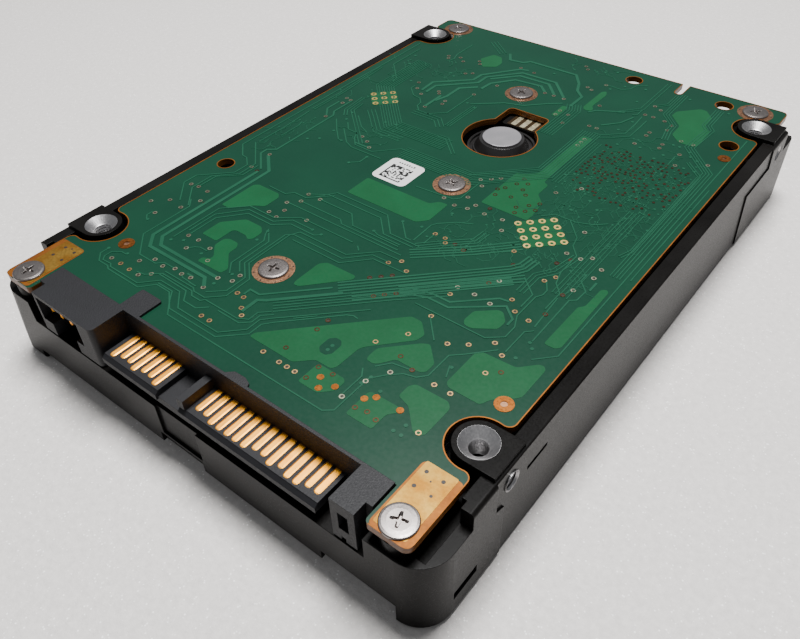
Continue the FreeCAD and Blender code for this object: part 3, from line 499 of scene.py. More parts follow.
areaOutlines = {
    "arrayField": [(17.8, -6.5), (21.9, -2.35), (17.8, 1.8), (13.7, -2.35)],
    "cornerField": [(-22.8, 11.8), (-19.7, 14.95), (-22.8, 18.1), (-25.9, 14.95)],
    "middleBar": [(-9.2, -10.2), (3.0, -10.2), (4.3, -8.8), (4.2, -4.3), (2.9, -4.4), (1.9, -5.6),
                  (-9.2, -5.6)],
    "leftFlag": [(-21.4, -23.0), (-20.0, -23.0), (-17.4, -20.4), (-16.1, -19.7), (-16.1, -17.0),
                 (-16.8, -16.3), (-20.8, -16.3), (-21.4, -16.9)],
    "hookUpper": [(-18.4, -29.2), (-15.6, -29.2), (-15.6, -26.4), (-15.2, -26.0), (-13.3, -26.0),
                  (-12.5, -26.5), (-12.0, -26.0), (-12.0, -24.3), (-13.0, -23.4), (-15.9, -23.4),
                  (-18.4, -26.0)],
    "hookLower": [(-14.4, -33.5), (-10.1, -33.4), (-9.9, -32.3), (-12.3, -30.0), (-12.3, -28.6),
                  (-12.9, -27.8), (-14.5, -27.8), (-15.1, -28.3), (-15.1, -29.9), (-13.4, -31.6),
                  (-13.4, -32.3), (-14.4, -32.6)],
    "screwSide": [(-1.4, -28.8), (-1.2, -29.5), (-0.4, -29.4), (4.2, -24.4), (4.0, -23.7),
                  (-0.6, -23.8), (-1.4, -24.6)],
    "frontLarge": [(1.2, -39.2), (8.0, -39.2), (9.9, -37.4), (12.1, -37.4), (12.5, -36.8),
                   (12.6, -33.2), (13.0, -32.5), (17.0, -28.2), (17.2, -27.0), (15.6, -25.4),
                   (14.1, -25.4), (1.3, -38.4)],
    "frontArrow": [(14.2, -31.9), (17.7, -28.3), (18.6, -27.8), (20.8, -30.0), (20.8, -31.5),
                   (20.2, -32.0), (17.0, -32.0), (15.9, -33.6), (15.4, -34.0), (14.4, -34.0),
                   (14.2, -33.4)],
    "frontBoot": [(20.5, -36.0), (22.2, -36.5), (24.6, -38.9), (25.4, -39.0), (25.9, -38.5),
                  (25.9, -34.2), (25.2, -33.5), (21.0, -33.6), (20.5, -34.3)],
    "cornerBlock": [(23.4, -31.4), (24.0, -31.9), (28.0, -31.9), (28.6, -30.6), (30.2, -29.3),
                    (31.0, -28.4), (31.0, -23.6), (30.6, -23.1), (30.0, -23.2), (28.2, -25.1),
                    (24.0, -25.3), (23.4, -25.9)],
    "plugPadRight": [(17.6, -41.2), (21.1, -41.2), (21.1, -38.8), (22.0, -37.8), (21.6, -37.2),
                     (17.9, -37.3), (17.6, -37.7)],
    "plugPadLeft": [(10.5, -40.9), (13.3, -40.9), (14.7, -39.5), (14.7, -38.0), (14.3, -37.6),
                    (10.9, -37.6), (10.5, -38.0)],
    "edgeBar": [(28.7, -20.1), (30.1, -20.1), (30.6, -19.5), (30.5, -8.0), (30.1, -7.6),
                (29.5, -8.0), (29.4, -11.8), (28.8, -12.4)],
    "rightGem": [(19.3, -22.2), (19.8, -22.9), (20.8, -22.9), (23.3, -21.2), (23.4, -19.7),
                 (22.3, -18.4), (21.6, -18.4), (19.4, -20.3)],
    "motorStrip": [(7.5, -1.1), (14.9, -1.1), (14.9, 0.5), (14.5, 3.6), (12.9, 5.2), (12.9, 8.0),
                   (12.0, 8.4), (12.0, 23.2), (10.1, 23.2), (10.1, 9.9), (8.7, 8.5), (7.5, 8.1)],
    "rearTall": [(22.8, 29.9), (25.0, 29.9), (25.5, 30.5), (25.5, 35.6), (24.2, 37.0), (24.1, 39.8),
                 (22.4, 41.8), (21.4, 41.8), (18.6, 38.8), (18.5, 37.2), (20.9, 34.6), (21.0, 31.6)],
    "rearStick": [(5.7, 31.6), (6.2, 30.8), (7.4, 31.0), (7.4, 31.8), (6.8, 32.6), (6.9, 37.4),
                  (6.3, 38.6), (5.7, 38.0)],
    "rearPatch": [(-18.1, 37.0), (-16.0, 34.4), (-13.9, 35.8), (-13.9, 37.6), (-15.2, 39.6),
                  (-17.0, 39.8)],
    "rearTab": [(2.8, 26.2), (3.8, 26.2), (3.8, 30.0), (2.8, 30.0)],
}

areas = Shape()
for outline in areaOutlines.values():
    areas.plate(rounded(outline, 0.35, 3), base, at("area"))
areas.piece("copper_areas", "areas")

island = Shape()
island.plate(rounded([(8.8, -35.6), (9.4, -36.2), (10.2, -36.2), (10.7, -35.6), (10.7, -34.0),
                      (10.2, -33.4), (9.4, -33.4), (8.8, -34.0)], 0.2, 3), base, at("area") + 0.006)
island.piece("area_cutout", "board")

# each route is a run of copper; bundles repeat one route side by side
routes = {
    0.20: [
        [(-25.9, -24.7), (-24.7, -26.0), (-24.7, -34.0), (-21.5, -37.1), (-18.3, -37.1), (-17.5, -36.3),
         (-15.6, -36.3)],
        [(-22.9, -38.2), (-23.8, -38.2), (-24.9, -39.0), (-24.9, -40.1), (-24.4, -40.7), (-22.9, -40.6),
         (-22.4, -41.0), (-17.0, -41.0), (-15.0, -38.9), (-11.4, -38.9), (-9.2, -41.0), (-2.2, -41.0),
         (0.2, -38.6), (0.2, -36.6), (1.2, -35.5), (9.5, -27.4)],
        [(-25.9, -38.8), (-25.9, -40.0), (-24.7, -41.1), (-22.9, -41.1), (-22.3, -41.45), (-16.3, -41.45),
         (-14.8, -39.7), (-12.4, -39.7), (-10.0, -41.65), (-1.9, -41.65), (0.9, -39.0), (0.9, -37.0),
         (1.8, -35.9), (7.8, -29.8), (8.6, -29.4), (9.3, -29.5)],
        [(-14.9, -39.4), (-12.2, -39.4), (-11.2, -40.6), (-9.3, -42.5), (15.4, -42.4), (16.4, -41.6),
         (16.4, -36.0), (17.6, -34.5), (19.0, -33.2), (20.4, -32.8), (21.3, -31.8), (21.3, -28.0),
         (22.6, -26.8), (25.2, -24.0)],
        [(-17.2, -38.9), (-16.2, -38.2), (-10.9, -38.3), (-9.7, -39.7), (-7.5, -39.7), (-6.3, -38.6)],
        [(-18.9, -39.6), (-17.6, -39.4), (-15.9, -37.9), (-10.3, -37.9), (-9.6, -38.5), (-8.1, -38.5),
         (-7.7, -38.0), (-2.2, -38.0), (-0.9, -37.3), (-0.9, -35.8), (0.3, -34.7)],
        [(-5.0, -38.4), (-1.4, -38.4), (-0.3, -37.4), (-0.3, -36.0), (0.9, -34.9)],
        [(-16.0, -37.4), (-10.6, -37.4), (-10.0, -37.8), (-8.1, -37.8), (-6.2, -36.0), (-6.2, -32.1),
         (-8.6, -29.9), (-8.6, -22.5), (-7.9, -21.2), (0.2, -21.2), (3.4, -18.1), (6.4, -18.0)],
        [(-8.8, -37.0), (-6.9, -35.3), (-6.9, -32.2), (-9.1, -30.2), (-9.1, -22.8), (-8.2, -22.1),
         (0.3, -22.1), (3.0, -19.2), (5.4, -19.1)],
        [(-9.1, -32.8), (-10.5, -31.2), (-10.5, -25.4), (-11.4, -24.2), (-11.8, -23.2)],
        [(-8.3, -31.8), (-9.8, -30.4), (-9.8, -25.2), (-11.2, -23.8)],
        [(-7.6, -23.0), (0.6, -23.0), (3.6, -19.8), (9.0, -19.6)],
        [(-13.9, -36.5), (-13.2, -36.9), (-12.4, -36.9), (-11.4, -37.0), (-10.6, -37.0)],
        [(-20.9, -32.0), (-20.9, -23.9), (-17.8, -20.9), (-13.0, -20.9), (-10.1, -18.7), (-0.8, -18.7)],
        [(-20.3, -29.8), (-20.3, -25.2), (-17.3, -21.6), (-12.6, -21.6), (-10.6, -19.8), (-7.0, -19.8)],
        [(-19.6, -30.2), (-19.6, -25.7), (-16.7, -22.3), (-12.3, -22.3), (-10.2, -20.6), (-6.0, -20.6),
         (-5.3, -20.0)],
        [(-17.5, -32.6), (-16.9, -31.8), (-16.2, -31.4), (-14.9, -31.4)],
        [(-12.0, -13.9), (-10.1, -11.2), (-1.0, -11.2), (2.0, -14.3), (6.8, -14.3)],
        [(-13.1, -15.8), (-5.5, -15.8), (-4.7, -16.5), (5.0, -16.5)],
        [(-11.0, -13.9), (-5.1, -13.9), (-3.2, -15.9), (4.6, -15.9)],
        [(-14.2, -17.1), (6.0, -17.1)],
        [(-13.3, -13.9), (-10.7, -12.3), (-1.3, -12.3), (1.3, -14.9), (6.2, -14.9)],
        [(1.6, -11.2), (4.2, -13.8), (5.0, -13.8)],
        [(-0.2, -15.1), (0.8, -15.5), (4.6, -15.5)],
        [(-19.3, -15.7), (-16.0, -15.8), (-15.1, -14.8), (-12.9, -14.8), (-9.9, -12.0)],
        [(0.2, -18.9), (1.0, -19.6)],
        [(-31.1, 36.0), (-31.1, -9.8), (-28.7, -12.1), (-27.7, -12.2), (-26.1, -13.6), (-26.1, -16.2),
         (-30.1, -20.1), (-30.1, -22.4), (-27.0, -25.8)],
        [(-29.9, -8.2), (-25.3, -12.7), (-25.2, -16.0), (-28.1, -18.9), (-28.1, -22.6), (-25.0, -26.0)],
        [(-30.0, 4.2), (-29.6, -2.0), (-29.6, -7.8)],
        [(-24.6, -12.8), (-24.6, -16.0), (-27.5, -18.6), (-27.5, -21.7)],
        [(-27.9, -29.9), (-27.9, -30.9), (-27.1, -31.6)],
        [(-28.5, 0.8), (-28.1, -0.4), (-28.1, -4.4)],
        [(-13.0, -1.2), (-13.0, -3.0), (-14.2, -4.1)],
        [(4.7, 2.6), (4.7, -2.0), (4.0, -2.8), (-2.2, -3.3)],
        [(3.2, -34.0), (5.2, -32.0)],
        [(5.3, -13.6), (5.2, -9.6), (5.6, -8.8), (7.6, -7.0), (9.6, -6.0)],
        [(6.8, -13.4), (6.8, -11.0)],
        [(15.9, -24.2), (18.6, -27.1)],
        [(15.8, -34.2), (17.0, -32.7), (19.2, -32.3)],
        [(14.9, -35.2), (15.6, -36.2), (15.6, -39.4)],
        [(19.6, 2.3), (22.2, -0.6), (22.6, -2.4), (24.0, -4.0), (24.0, -8.0), (24.6, -10.2), (25.9, -11.6),
         (25.9, -15.0)],
        [(15.9, 0.9), (17.3, 2.4), (20.4, 2.4), (22.6, 3.3), (24.0, 4.6)],
        [(20.9, -11.5), (23.4, -13.7), (23.4, -16.4)],
        [(23.5, -10.6), (24.4, -12.0), (24.4, -13.0), (23.9, -13.9), (23.9, -18.0), (24.7, -19.8),
         (24.7, -21.8), (22.9, -23.3), (13.0, -23.3)],
        [(26.8, -6.4), (26.8, -8.0), (28.2, -9.4), (28.1, -11.4), (27.4, -12.0), (27.5, -20.6)],
        [(26.0, -23.8), (26.0, -19.8), (26.8, -19.0)],
        [(26.1, -12.4), (26.5, -18.4)],
        [(31.0, 36.2), (31.0, -20.9), (28.9, -23.1)],
        [(23.0, -30.9), (22.3, -29.2)],
        [(14.0, 36.0), (14.0, 34.2), (13.4, 33.6)],
        [(14.9, 34.0), (15.1, 31.0), (15.1, 27.6), (12.2, 25.0), (11.0, 25.0)],
        [(16.1, 33.2), (16.1, 27.2), (14.2, 25.4), (12.4, 24.2)],
        [(24.1, 25.8), (24.2, 22.0), (23.8, 20.9)],
        [(-11.2, 24.6), (-11.2, 17.0), (-13.4, 14.9), (-13.9, 14.7)],
        [(5.0, 40.4), (5.9, 40.8), (8.0, 40.6), (9.1, 41.6), (9.5, 43.4), (11.0, 44.6)],
        [(-21.3, 21.6), (-21.3, 20.4), (-19.4, 18.6), (-17.8, 18.3), (-16.8, 17.2), (-16.6, 16.0),
         (-15.4, 14.8)],
        [(-24.6, 4.8), (-22.2, 2.2), (-20.0, 0.1), (-19.3, 0.1)],
        [(-22.3, 5.0), (-20.8, 3.4), (-18.9, 3.3), (-18.3, 2.0), (-16.8, 0.4), (-13.4, 0.3), (-10.2, 3.6),
         (2.2, 3.6), (9.8, 11.0), (9.8, 20.0)],
        [(-21.6, 3.2), (-18.4, 0.2), (-16.8, -0.5), (-11.0, -0.5)],
        [(-22.4, 7.7), (-19.6, 5.2), (-17.8, 4.4)],
        [(-22.3, 33.0), (-22.0, 34.2), (-22.6, 36.0), (-22.6, 41.0)],
        [(-29.6, 34.0), (-29.6, 26.0), (-25.8, 22.0), (-25.4, 20.6)],
    ],
    0.32: [
        [(-26.6, 11.0), (-26.6, 6.5), (-25.8, 5.4), (-25.7, -7.8), (-26.9, -8.7), (-26.9, -10.0),
         (-23.6, -13.2)],
        [(-28.2, 9.6), (-28.2, 6.6), (-26.7, 4.7)],
        [(3.2, -27.1), (-3.1, -33.4), (-4.7, -33.4), (-4.7, -34.5)],
        [(-13.4, -36.0), (-12.3, -36.0)],
        [(12.0, -22.3), (13.6, -21.6), (16.6, -21.6), (22.0, -17.3), (23.8, -18.8), (23.8, -20.0)],
        [(11.2, -21.4), (13.8, -20.7), (16.2, -20.7), (20.6, -16.6), (21.8, -16.4)],
        [(-9.8, 21.6), (-5.4, 25.2), (-2.4, 26.2), (0.6, 29.2), (2.4, 30.6)],
        [(-17.2, 0.9), (-14.0, 0.9)],
        [(12.2, 34.0), (8.0, 31.6), (7.2, 30.4)],
        [(10.9, 27.8), (13.0, 30.2), (13.9, 33.0)],
        [(28.5, -7.2), (28.5, -9.0)],
    ],
    0.52: [
        [(-23.5, -14.6), (-23.5, -33.3), (-21.8, -35.2), (-11.0, -35.2), (-9.8, -36.4)],
        [(-25.5, -9.8), (-22.2, -12.9), (-22.2, -32.8), (-20.8, -34.2), (-9.8, -34.3)],
        [(-23.5, -13.9), (-23.5, -14.8)],
        [(4.9, -27.1), (-1.6, -33.6), (-2.6, -34.3), (-2.6, -36.8)],
        [(-11.4, 27.2), (-11.2, 29.8), (-8.4, 33.4), (-3.6, 33.9), (-2.0, 32.4)],
        [(-12.2, 31.2), (-8.6, 35.2), (-2.9, 35.3), (-0.2, 32.4)],
        [(-18.4, 20.8), (-18.4, 23.6), (-13.1, 28.8), (-13.1, 31.4), (-8.8, 36.4), (-2.2, 36.5),
         (1.6, 32.4)],
        [(-19.4, 20.9), (-19.6, 24.4), (-14.4, 29.2), (-14.3, 31.6), (-9.9, 37.4), (-8.4, 37.8)],
        [(-15.3, 19.2), (-14.6, 21.6), (-14.6, 25.2), (-12.2, 27.4)],
        [(-14.8, 41.8), (-13.4, 39.6), (-10.9, 40.0), (-10.0, 41.1), (-0.8, 41.1), (1.2, 38.4),
         (2.2, 36.0), (3.9, 34.4), (3.9, 30.4)],
        [(-15.5, 21.2), (-15.5, 16.6)],
    ],
}

# start route, how many lines side by side, distance between them, width of each
bundles = [
    ([(6.6, -27.4), (13.2, -20.8), (20.6, -13.4)], 4, 0.62, 0.3),
    ([(0.4, -34.6), (8.6, -26.4), (10.6, -24.4), (15.6, -19.8)], 5, 0.5, 0.2),
    ([(10.4, -23.0), (14.0, -19.4), (21.6, -12.0)], 3, 0.6, 0.3),
    ([(4.2, -27.2), (9.6, -21.8), (19.6, -11.8), (20.6, -10.2), (20.9, -7.8)], 4, 0.55, 0.3),
    ([(7.2, -16.8), (13.4, -11.4), (17.8, -6.8)], 4, 0.55, 0.28),
    ([(6.6, -14.8), (9.4, -12.0), (12.4, -9.2), (12.6, -6.6)], 3, 0.5, 0.2),
    ([(31.6, 20.0), (31.6, -4.4)], 1, 0.5, 0.18),
    ([(30.4, -5.0), (30.4, 24.2), (25.4, 29.6), (25.9, 36.2), (24.9, 37.4), (24.8, 43.0)], 4, 0.42, 0.17),
    ([(28.6, -1.0), (29.3, 1.0), (29.3, 22.6), (26.4, 25.4)], 2, 0.4, 0.17),
    ([(21.2, 29.4), (20.6, 32.2), (20.5, 34.4), (18.1, 37.0), (18.0, 44.8)], 3, 0.42, 0.17),
    ([(13.5, 47.0), (13.5, 36.4), (10.8, 33.2)], 2, 0.62, 0.17),
    ([(16.4, 44.0), (16.4, 40.2), (15.2, 38.8)], 2, 0.4, 0.17),
    ([(9.4, 24.8), (9.4, 11.2), (2.6, 4.4), (-9.6, 4.4)], 8, 0.42, 0.17),
    ([(-5.2, 10.0), (-15.2, 10.0), (-24.0, 19.0), (-24.0, 30.0)], 8, 0.42, 0.16),
    ([(-24.9, 11.2), (-24.6, 8.4), (-16.4, 0.9)], 2, 0.5, 0.17),
    ([(-26.0, 13.0), (-25.6, 8.0), (-24.4, 6.4)], 2, 0.5, 0.17),
    ([(-2.8, 7.2), (-6.2, 10.4), (-8.0, 10.4)], 2, 0.5, 0.16),
    ([(-8.3, 13.4), (-8.3, 21.4)], 3, 0.4, 0.16),
    ([(-16.0, 13.6), (-11.4, 13.6), (-9.8, 12.0)], 3, 0.62, 0.17),
    ([(-12.0, 6.4), (-16.6, 6.4), (-19.8, 9.4), (-21.6, 11.0)], 3, 0.62, 0.17),
    ([(-31.0, 24.0), (-30.2, 12.0), (-30.2, 5.0)], 2, 0.5, 0.17),
    ([(5.2, 31.8), (6.2, 29.6), (6.2, 20.4)], 6, -0.45, 0.16),
    ([(23.6, -4.0), (22.9, -8.0), (21.4, -10.2), (21.4, -14.2)], 3, 0.5, 0.17),
    ([(25.0, -12.0), (25.0, 9.0)], 5, -0.5, 0.15),
    ([(12.8, 9.2), (12.8, 22.6)], 3, -0.45, 0.15),
    ([(-20.4, 44.0), (-16.2, 40.6)], 3, 0.6, 0.17),
]


traces = Shape()
stepUp = 0.0009  # crossing lines never share one level


def nextLevel(shape):
    return at("trace") + stepUp * (len(shape.faces) % 29)


for width, group in routes.items():
    for route in group:
        traces.trace(route, width, base, nextLevel(traces))
for route, count, pitch, width in bundles:
    for k in range(count):
        traces.trace(moved(route, k * pitch), width, base, nextLevel(traces))
traces.piece("copper_traces", "traces")
print("copper drawn:", len(areaOutlines), "areas,", len(traces.faces), "trace faces")

# ---------- vias

viaLook = {"outer": 0.33, "inner": 0.19, "fieldOuter": 0.17, "fieldInner": 0.08, "dot": 0.24, "seed": 7}
vias = {
    "viaRing": [
        (-19.5, -30.6), (-17.6, -30.5), (-15.0, -30.8), (-17.6, -32.6), (-13.3, -32.7), (-19.0, -36.6),
        (-17.1, -36.9), (-15.4, -36.3), (-13.9, -36.5), (-12.4, -36.3), (-20.4, -38.0), (-17.0, -38.8),
        (-23.8, -39.8), (-18.2, -39.9), (-27.4, -29.9), (-30.2, -28.4), (-7.7, -32.3), (-7.7, -33.6),
        (-9.6, -34.3), (-9.7, -36.6), (-25.5, -9.5), (-25.2, -13.6), (-28.9, -22.1), (-27.5, -21.9),
        (-25.5, -22.0), (-24.5, -24.2), (-28.2, -26.6), (-25.5, -26.9), (-14.3, -17.2), (-13.2, -18.8),
        (-14.7, -20.3), (-13.0, -20.6), (-13.2, -13.9), (-12.9, -15.8), (-11.0, -13.9), (-9.1, -18.7),
        (2.8, -3.3), (5.4, -1.2), (5.0, -3.9), (7.4, -2.2), (6.9, -3.5), (9.5, -3.2), (5.4, 2.3),
        (4.3, 3.6), (5.5, 4.6), (6.5, 5.6), (12.2, -2.9), (13.4, -5.0), (15.4, -17.9), (17.8, -17.8),
        (20.2, -18.1), (18.8, -13.9), (26.9, -10.1), (27.8, -6.6), (25.8, -3.2), (22.7, -4.2),
        (24.7, -4.2), (27.8, -4.6), (22.4, 1.1), (17.1, 10.0), (14.7, 7.0), (16.4, -36.5), (17.7, -33.9),
        (15.8, -39.7), (-27.9, 11.2), (-26.9, 11.0), (-27.4, 9.5), (-26.6, 4.4), (-14.5, 1.0),
        (-15.9, 2.2), (-17.5, 2.9), (-15.4, 16.5), (-21.5, 22.9), (-20.4, 21.0), (-18.6, 19.7),
        (-16.7, 22.2), (-16.2, 21.6), (-13.8, 20.0), (-13.6, 18.9), (-23.5, 34.6), (-23.0, 33.8),
        (-21.3, 35.2), (-20.0, 34.2), (-17.6, 35.9), (-16.9, 35.0), (-16.9, 30.4), (-15.9, 31.2),
        (-10.1, 37.9), (-7.2, 37.6), (-9.8, 29.7), (-11.2, 24.7), (-1.8, 32.1), (-0.1, 32.1),
        (1.8, 32.1), (3.3, 28.2), (3.3, 26.7), (5.1, 27.7), (5.6, 24.9), (9.5, 26.5), (10.8, 26.5),
        (7.7, 33.4), (3.0, 38.1), (4.0, 37.6), (5.2, 40.6), (15.1, 38.4), (16.4, 37.7), (15.0, 34.9),
        (16.4, 34.9), (18.4, 34.7), (19.9, 34.0), (19.9, 32.3), (18.0, 30.1), (18.0, 28.9),
        (21.1, 27.9), (21.2, 26.6), (17.6, 25.7), (24.4, 26.6), (25.1, 23.4), (23.0, 30.4),
        (24.9, 30.4), (28.9, 26.2), (10.9, 22.4), (10.9, 21.3), (10.9, 20.2), (-0.2, 44.2), (-1.0, 45.1),
    ],
    "viaGold": [
        (-21.9, -39.8), (-20.0, -39.9), (-5.5, -34.8), (-4.3, -34.9), (-3.1, -36.4), (-2.1, -37.3),
        (-5.9, -40.2), (-4.5, -40.2), (4.3, -40.0), (6.9, -40.1), (8.1, -40.1), (9.3, -40.1),
        (6.8, -10.8), (8.4, -10.8), (9.0, -11.6), (6.8, -18.0), (8.5, -19.2), (5.6, -19.2), (22.6, -32.5),
        (24.7, -32.5), (13.4, -31.2), (15.6, -28.0), (26.0, -27.8), (24.3, -23.3), (26.0, -24.5),
        (22.1, -25.3), (20.1, -26.6), (21.9, -15.9), (23.3, -17.5), (25.4, -17.9), (24.0, -9.2),
        (23.2, -10.6), (17.1, -7.8), (15.4, -19.5), (15.9, -24.0), (25.2, -38.7),
    ],
    "viaDark": [
        (5.9, -38.0), (6.7, -31.8), (6.7, -33.7), (17.1, -31.3), (19.4, -32.2), (10.9, -38.0),
        (10.9, -40.0), (12.9, -37.9), (5.6, -22.9), (6.6, -21.9), (7.6, -20.9), (8.2, -25.3),
        (9.1, -24.3), (10.1, -23.3), (10.2, -11.1), (9.3, 7.4), (10.4, 6.6), (9.1, 5.7), (10.6, 4.9),
        (8.3, 3.9), (7.6, 3.0), (10.2, 2.4), (8.1, 1.6), (11.6, 4.0), (14.3, 3.3), (13.3, 2.1),
        (14.6, 1.6), (12.1, 0.7), (13.6, 0.6), (12.6, -0.5), (9.4, -1.7), (17.9, -40.0), (19.3, -39.7),
        (20.7, -40.0), (27.3, -26.7), (23.8, -5.1), (22.7, -6.7), (26.4, -15.8), (26.3, -11.6),
        (18.0, -15.0), (11.8, -11.5), (18.5, -10.2), (-23.7, -13.9), (-23.6, -24.2),
    ],
}
dots = [
    (-22.9, -38.0), (-25.9, -38.7), (-27.0, -31.5), (-19.2, -31.7), (-15.1, -32.2), (-20.7, -32.6),
    (-7.0, -19.8), (-5.3, -19.9), (-11.6, -23.6), (-11.4, -25.8), (-9.2, -35.3), (-8.7, -32.7),
    (9.9, -34.6), (9.9, -35.4), (4.4, -10.6), (1.6, -11.1), (-0.2, -15.1), (5.9, -5.7), (23.6, -38.7),
    (23.0, -40.0), (24.0, -40.0), (18.6, -36.7), (16.5, -35.7), (16.2, -37.0), (28.1, -21.6),
    (27.4, -20.9), (12.9, -20.9), (22.6, -29.3), (27.4, -23.9), (-24.1, -2.6), (-22.6, -1.4), (-23.9, 7.9),
    (-23.2, 5.7), (-22.4, 1.7), (-19.4, 0.1), (-17.4, 8.6), (-15.5, 8.9), (-13.0, -1.3), (-14.2, -4.1),
    (-27.4, 27.9), (-26.8, 22.4), (-23.0, 22.6), (-19.1, 29.1), (-18.0, 28.4), (-28.6, 31.2),
    (-10.4, 21.6), (-8.6, 20.9), (13.4, 11.9), (16.6, 8.9), (19.5, 8.0), (21.3, 6.6), (18.4, 4.6),
    (23.6, 11.3), (24.4, 11.2), (28.8, 6.3), (11.3, 43.0), (18.7, 43.9), (14.4, 31.6), (13.7, 28.1),
    (22.5, 25.1), (21.8, 23.4), (28.0, 23.4), (26.4, 23.4), (15.6, 24.0), (18.8, 25.1), (22.5, 28.7),
    (23.5, 28.7), (26.0, 26.9), (27.2, 26.4), (25.4, 28.1), (2.8, 45.0), (4.6, 46.1), (-2.0, 42.7),
    (-3.2, 44.2), (8.0, 42.0), (-4.2, 39.4), (6.4, 39.7), (25.6, 42.9), (12.0, 38.2),
]
luck = random.Random(viaLook["seed"])
holeShadeDiscs = Shape()
# each via gets a ring and a flat dark disc in its middle; the disc is painted shade of the open hole
for finish, spots in vias.items():
    rings = Shape()
    for x, y in spots:
        rings.ring(x, y, viaLook["outer"], viaLook["inner"], base, at("ring"), 14)
        holeShadeDiscs.disc(x, y, viaLook["inner"] + 0.01, base, boardTop + 0.012, 10)
    rings.piece(finish + "_rings", finish)
marks = Shape()
for x, y in dots:
    marks.disc(x, y, viaLook["dot"], base, at("trace"), 12)

# crowded field under the main chip, drawn from a fixed seed
field = {"x": (14.4, 29.0), "y": (9.6, 22.8), "pitch": 0.82}
fine = Shape()
fieldRings = Shape()
x = field["x"][0]
while x < field["x"][1]:
    y = field["y"][0]
    while y < field["y"][1]:
        px = x + luck.uniform(-0.2, 0.2)
        py = y + luck.uniform(-0.2, 0.2)
        crowd = 0.25 if py < 13.6 else 0.6
        # field vias also get a flat dark disc, painted shade of the hole
        if luck.random() < crowd:
            fieldRings.ring(px, py, viaLook["fieldOuter"] + luck.uniform(0, 0.06),
                            viaLook["fieldInner"], base, at("ring"), 10)
            holeShadeDiscs.disc(px, py, viaLook["fieldInner"] + 0.01, base, boardTop + 0.012, 8)
        elif luck.random() < 0.5:
            marks.disc(px, py, luck.uniform(0.12, 0.2), base, at("trace"), 10)
        y += field["pitch"]
    x += field["pitch"]


def wander(x, y, steps, heading, stride):
    route = [(x, y)]
    for _ in range(steps):
        length = stride * luck.uniform(0.5, 1.5)
        x += length * cos(heading)
        y += length * sin(heading)
        route.append((x, y))
        heading += luck.choice((-pi / 4, pi / 4))
    return route


wanderFields = [
    (14.5, 29.0, 9.0, 23.0, 150, -pi / 2, 0.9, 0.12),
    (13.2, 28.8, -0.5, 9.4, 90, -pi / 2, 1.1, 0.14),
    (12.5, 27.5, -9.5, -4.6, 44, -pi / 4, 0.9, 0.16),
    (5.6, 12.5, -14.0, -3.4, 26, -pi / 4, 0.9, 0.16),
    (-30.5, -26.5, -8.0, 3.0, 22, -pi / 2, 0.8, 0.15),
    (-24.0, -17.0, 24.5, 33.5, 16, -pi / 4, 0.9, 0.16),
    (-31.0, -25.0, 12.0, 30.0, 18, -pi / 4, 1.1, 0.15),
    (-21.0, -12.5, 2.0, 9.0, 16, 0, 1.0, 0.15),
    (13.0, 28.0, 24.0, 28.5, 10, 0, 1.1, 0.15),
    (-6.0, 4.5, 42.4, 47.0, 10, -pi / 4, 1.0, 0.15),
]
for x0, x1, y0, y1, count, heading, stride, width in wanderFields:
    for k in range(count):
        start = (luck.uniform(x0, x1), luck.uniform(y0, y1))
        turn = heading + luck.choice((0, 0, pi, pi / 4))
        fine.trace(wander(start[0], start[1], luck.choice((2, 3, 4)), turn, stride), width, base,
                   nextLevel(fine) - 0.02)
        if luck.random() < 0.4:
            marks.disc(start[0], start[1], 0.17, base, at("trace"), 10)
fine.piece("fine_traces", "fineTraces")
marks.piece("plugged_vias", "traces")
fieldRings.piece("field_via_rings", "viaDark")
holeShadeDiscs.piece("via_hole_shade", "paintedHoleShade")
print("vias drawn:", sum(len(spots) for spots in vias.values()))

# ---------- bare pads, rings round the screws and eyelets

arrays = {"middle": (17.8, -2.35), "count": 4, "corner": (-22.8, 14.95), "cornerCount": 3, "pitch": 1.165}
goldDots = Shape()
goldHoles = Shape()
for centre, count in ((arrays["middle"], arrays["count"]), (arrays["corner"], arrays["cornerCount"])):
    for i in range(count):
        for j in range(count):
            u = (i - (count - 1) / 2) * arrays["pitch"]
            v = (j - (count - 1) / 2) * arrays["pitch"]
            px, py = centre[0] + u + v, centre[1] + u - v
            goldDots.ring(px, py, 0.5, 0.23, base, at("bare"), 20)
            goldHoles.disc(px, py, 0.24, base, boardTop + 0.02, 12)
goldDots.piece("gold_via_pads", "paleGold")
goldHoles.piece("gold_via_holes", "solder")

bareSpots = Shape()
for x, y in [(18.8, -37.6), (17.9, -38.5), (21.9, -37.5), (12.1, -39.0), (14.3, -39.1), (13.0, -40.3)]:
    bareSpots.disc(x, y, 0.42, base, at("bare"), 16)
bareSpots.piece("bare_copper_spots", "copperPad")

cornerPads = Shape()
cornerBorder = Shape()
cornerHoleShadeDiscs = Shape()
cornerBorder.plate(rounded([(27.7, -49.75), (32.1, -49.8), (32.5, -49.4), (32.5, -41.0), (27.7, -41.0)],
                           0.6, 4), base, at("area"))
cornerBorder.plate(rounded([(-32.5, -49.4), (-32.1, -49.8), (-27.6, -49.75), (-27.8, -41.0),
                            (-32.5, -41.0)], 0.6, 4), base, at("area"))
cornerPads.plate(rounded([(27.95, -49.3), (31.8, -49.3), (31.8, -40.9), (27.95, -40.9)], 0.3, 4),
                 base, at("bare"))
cornerPads.plate(rounded([(-31.7, -49.2), (-27.9, -49.2), (-27.9, -41.1), (-31.7, -41.1)], 0.3, 4),
                 base, at("bare"))
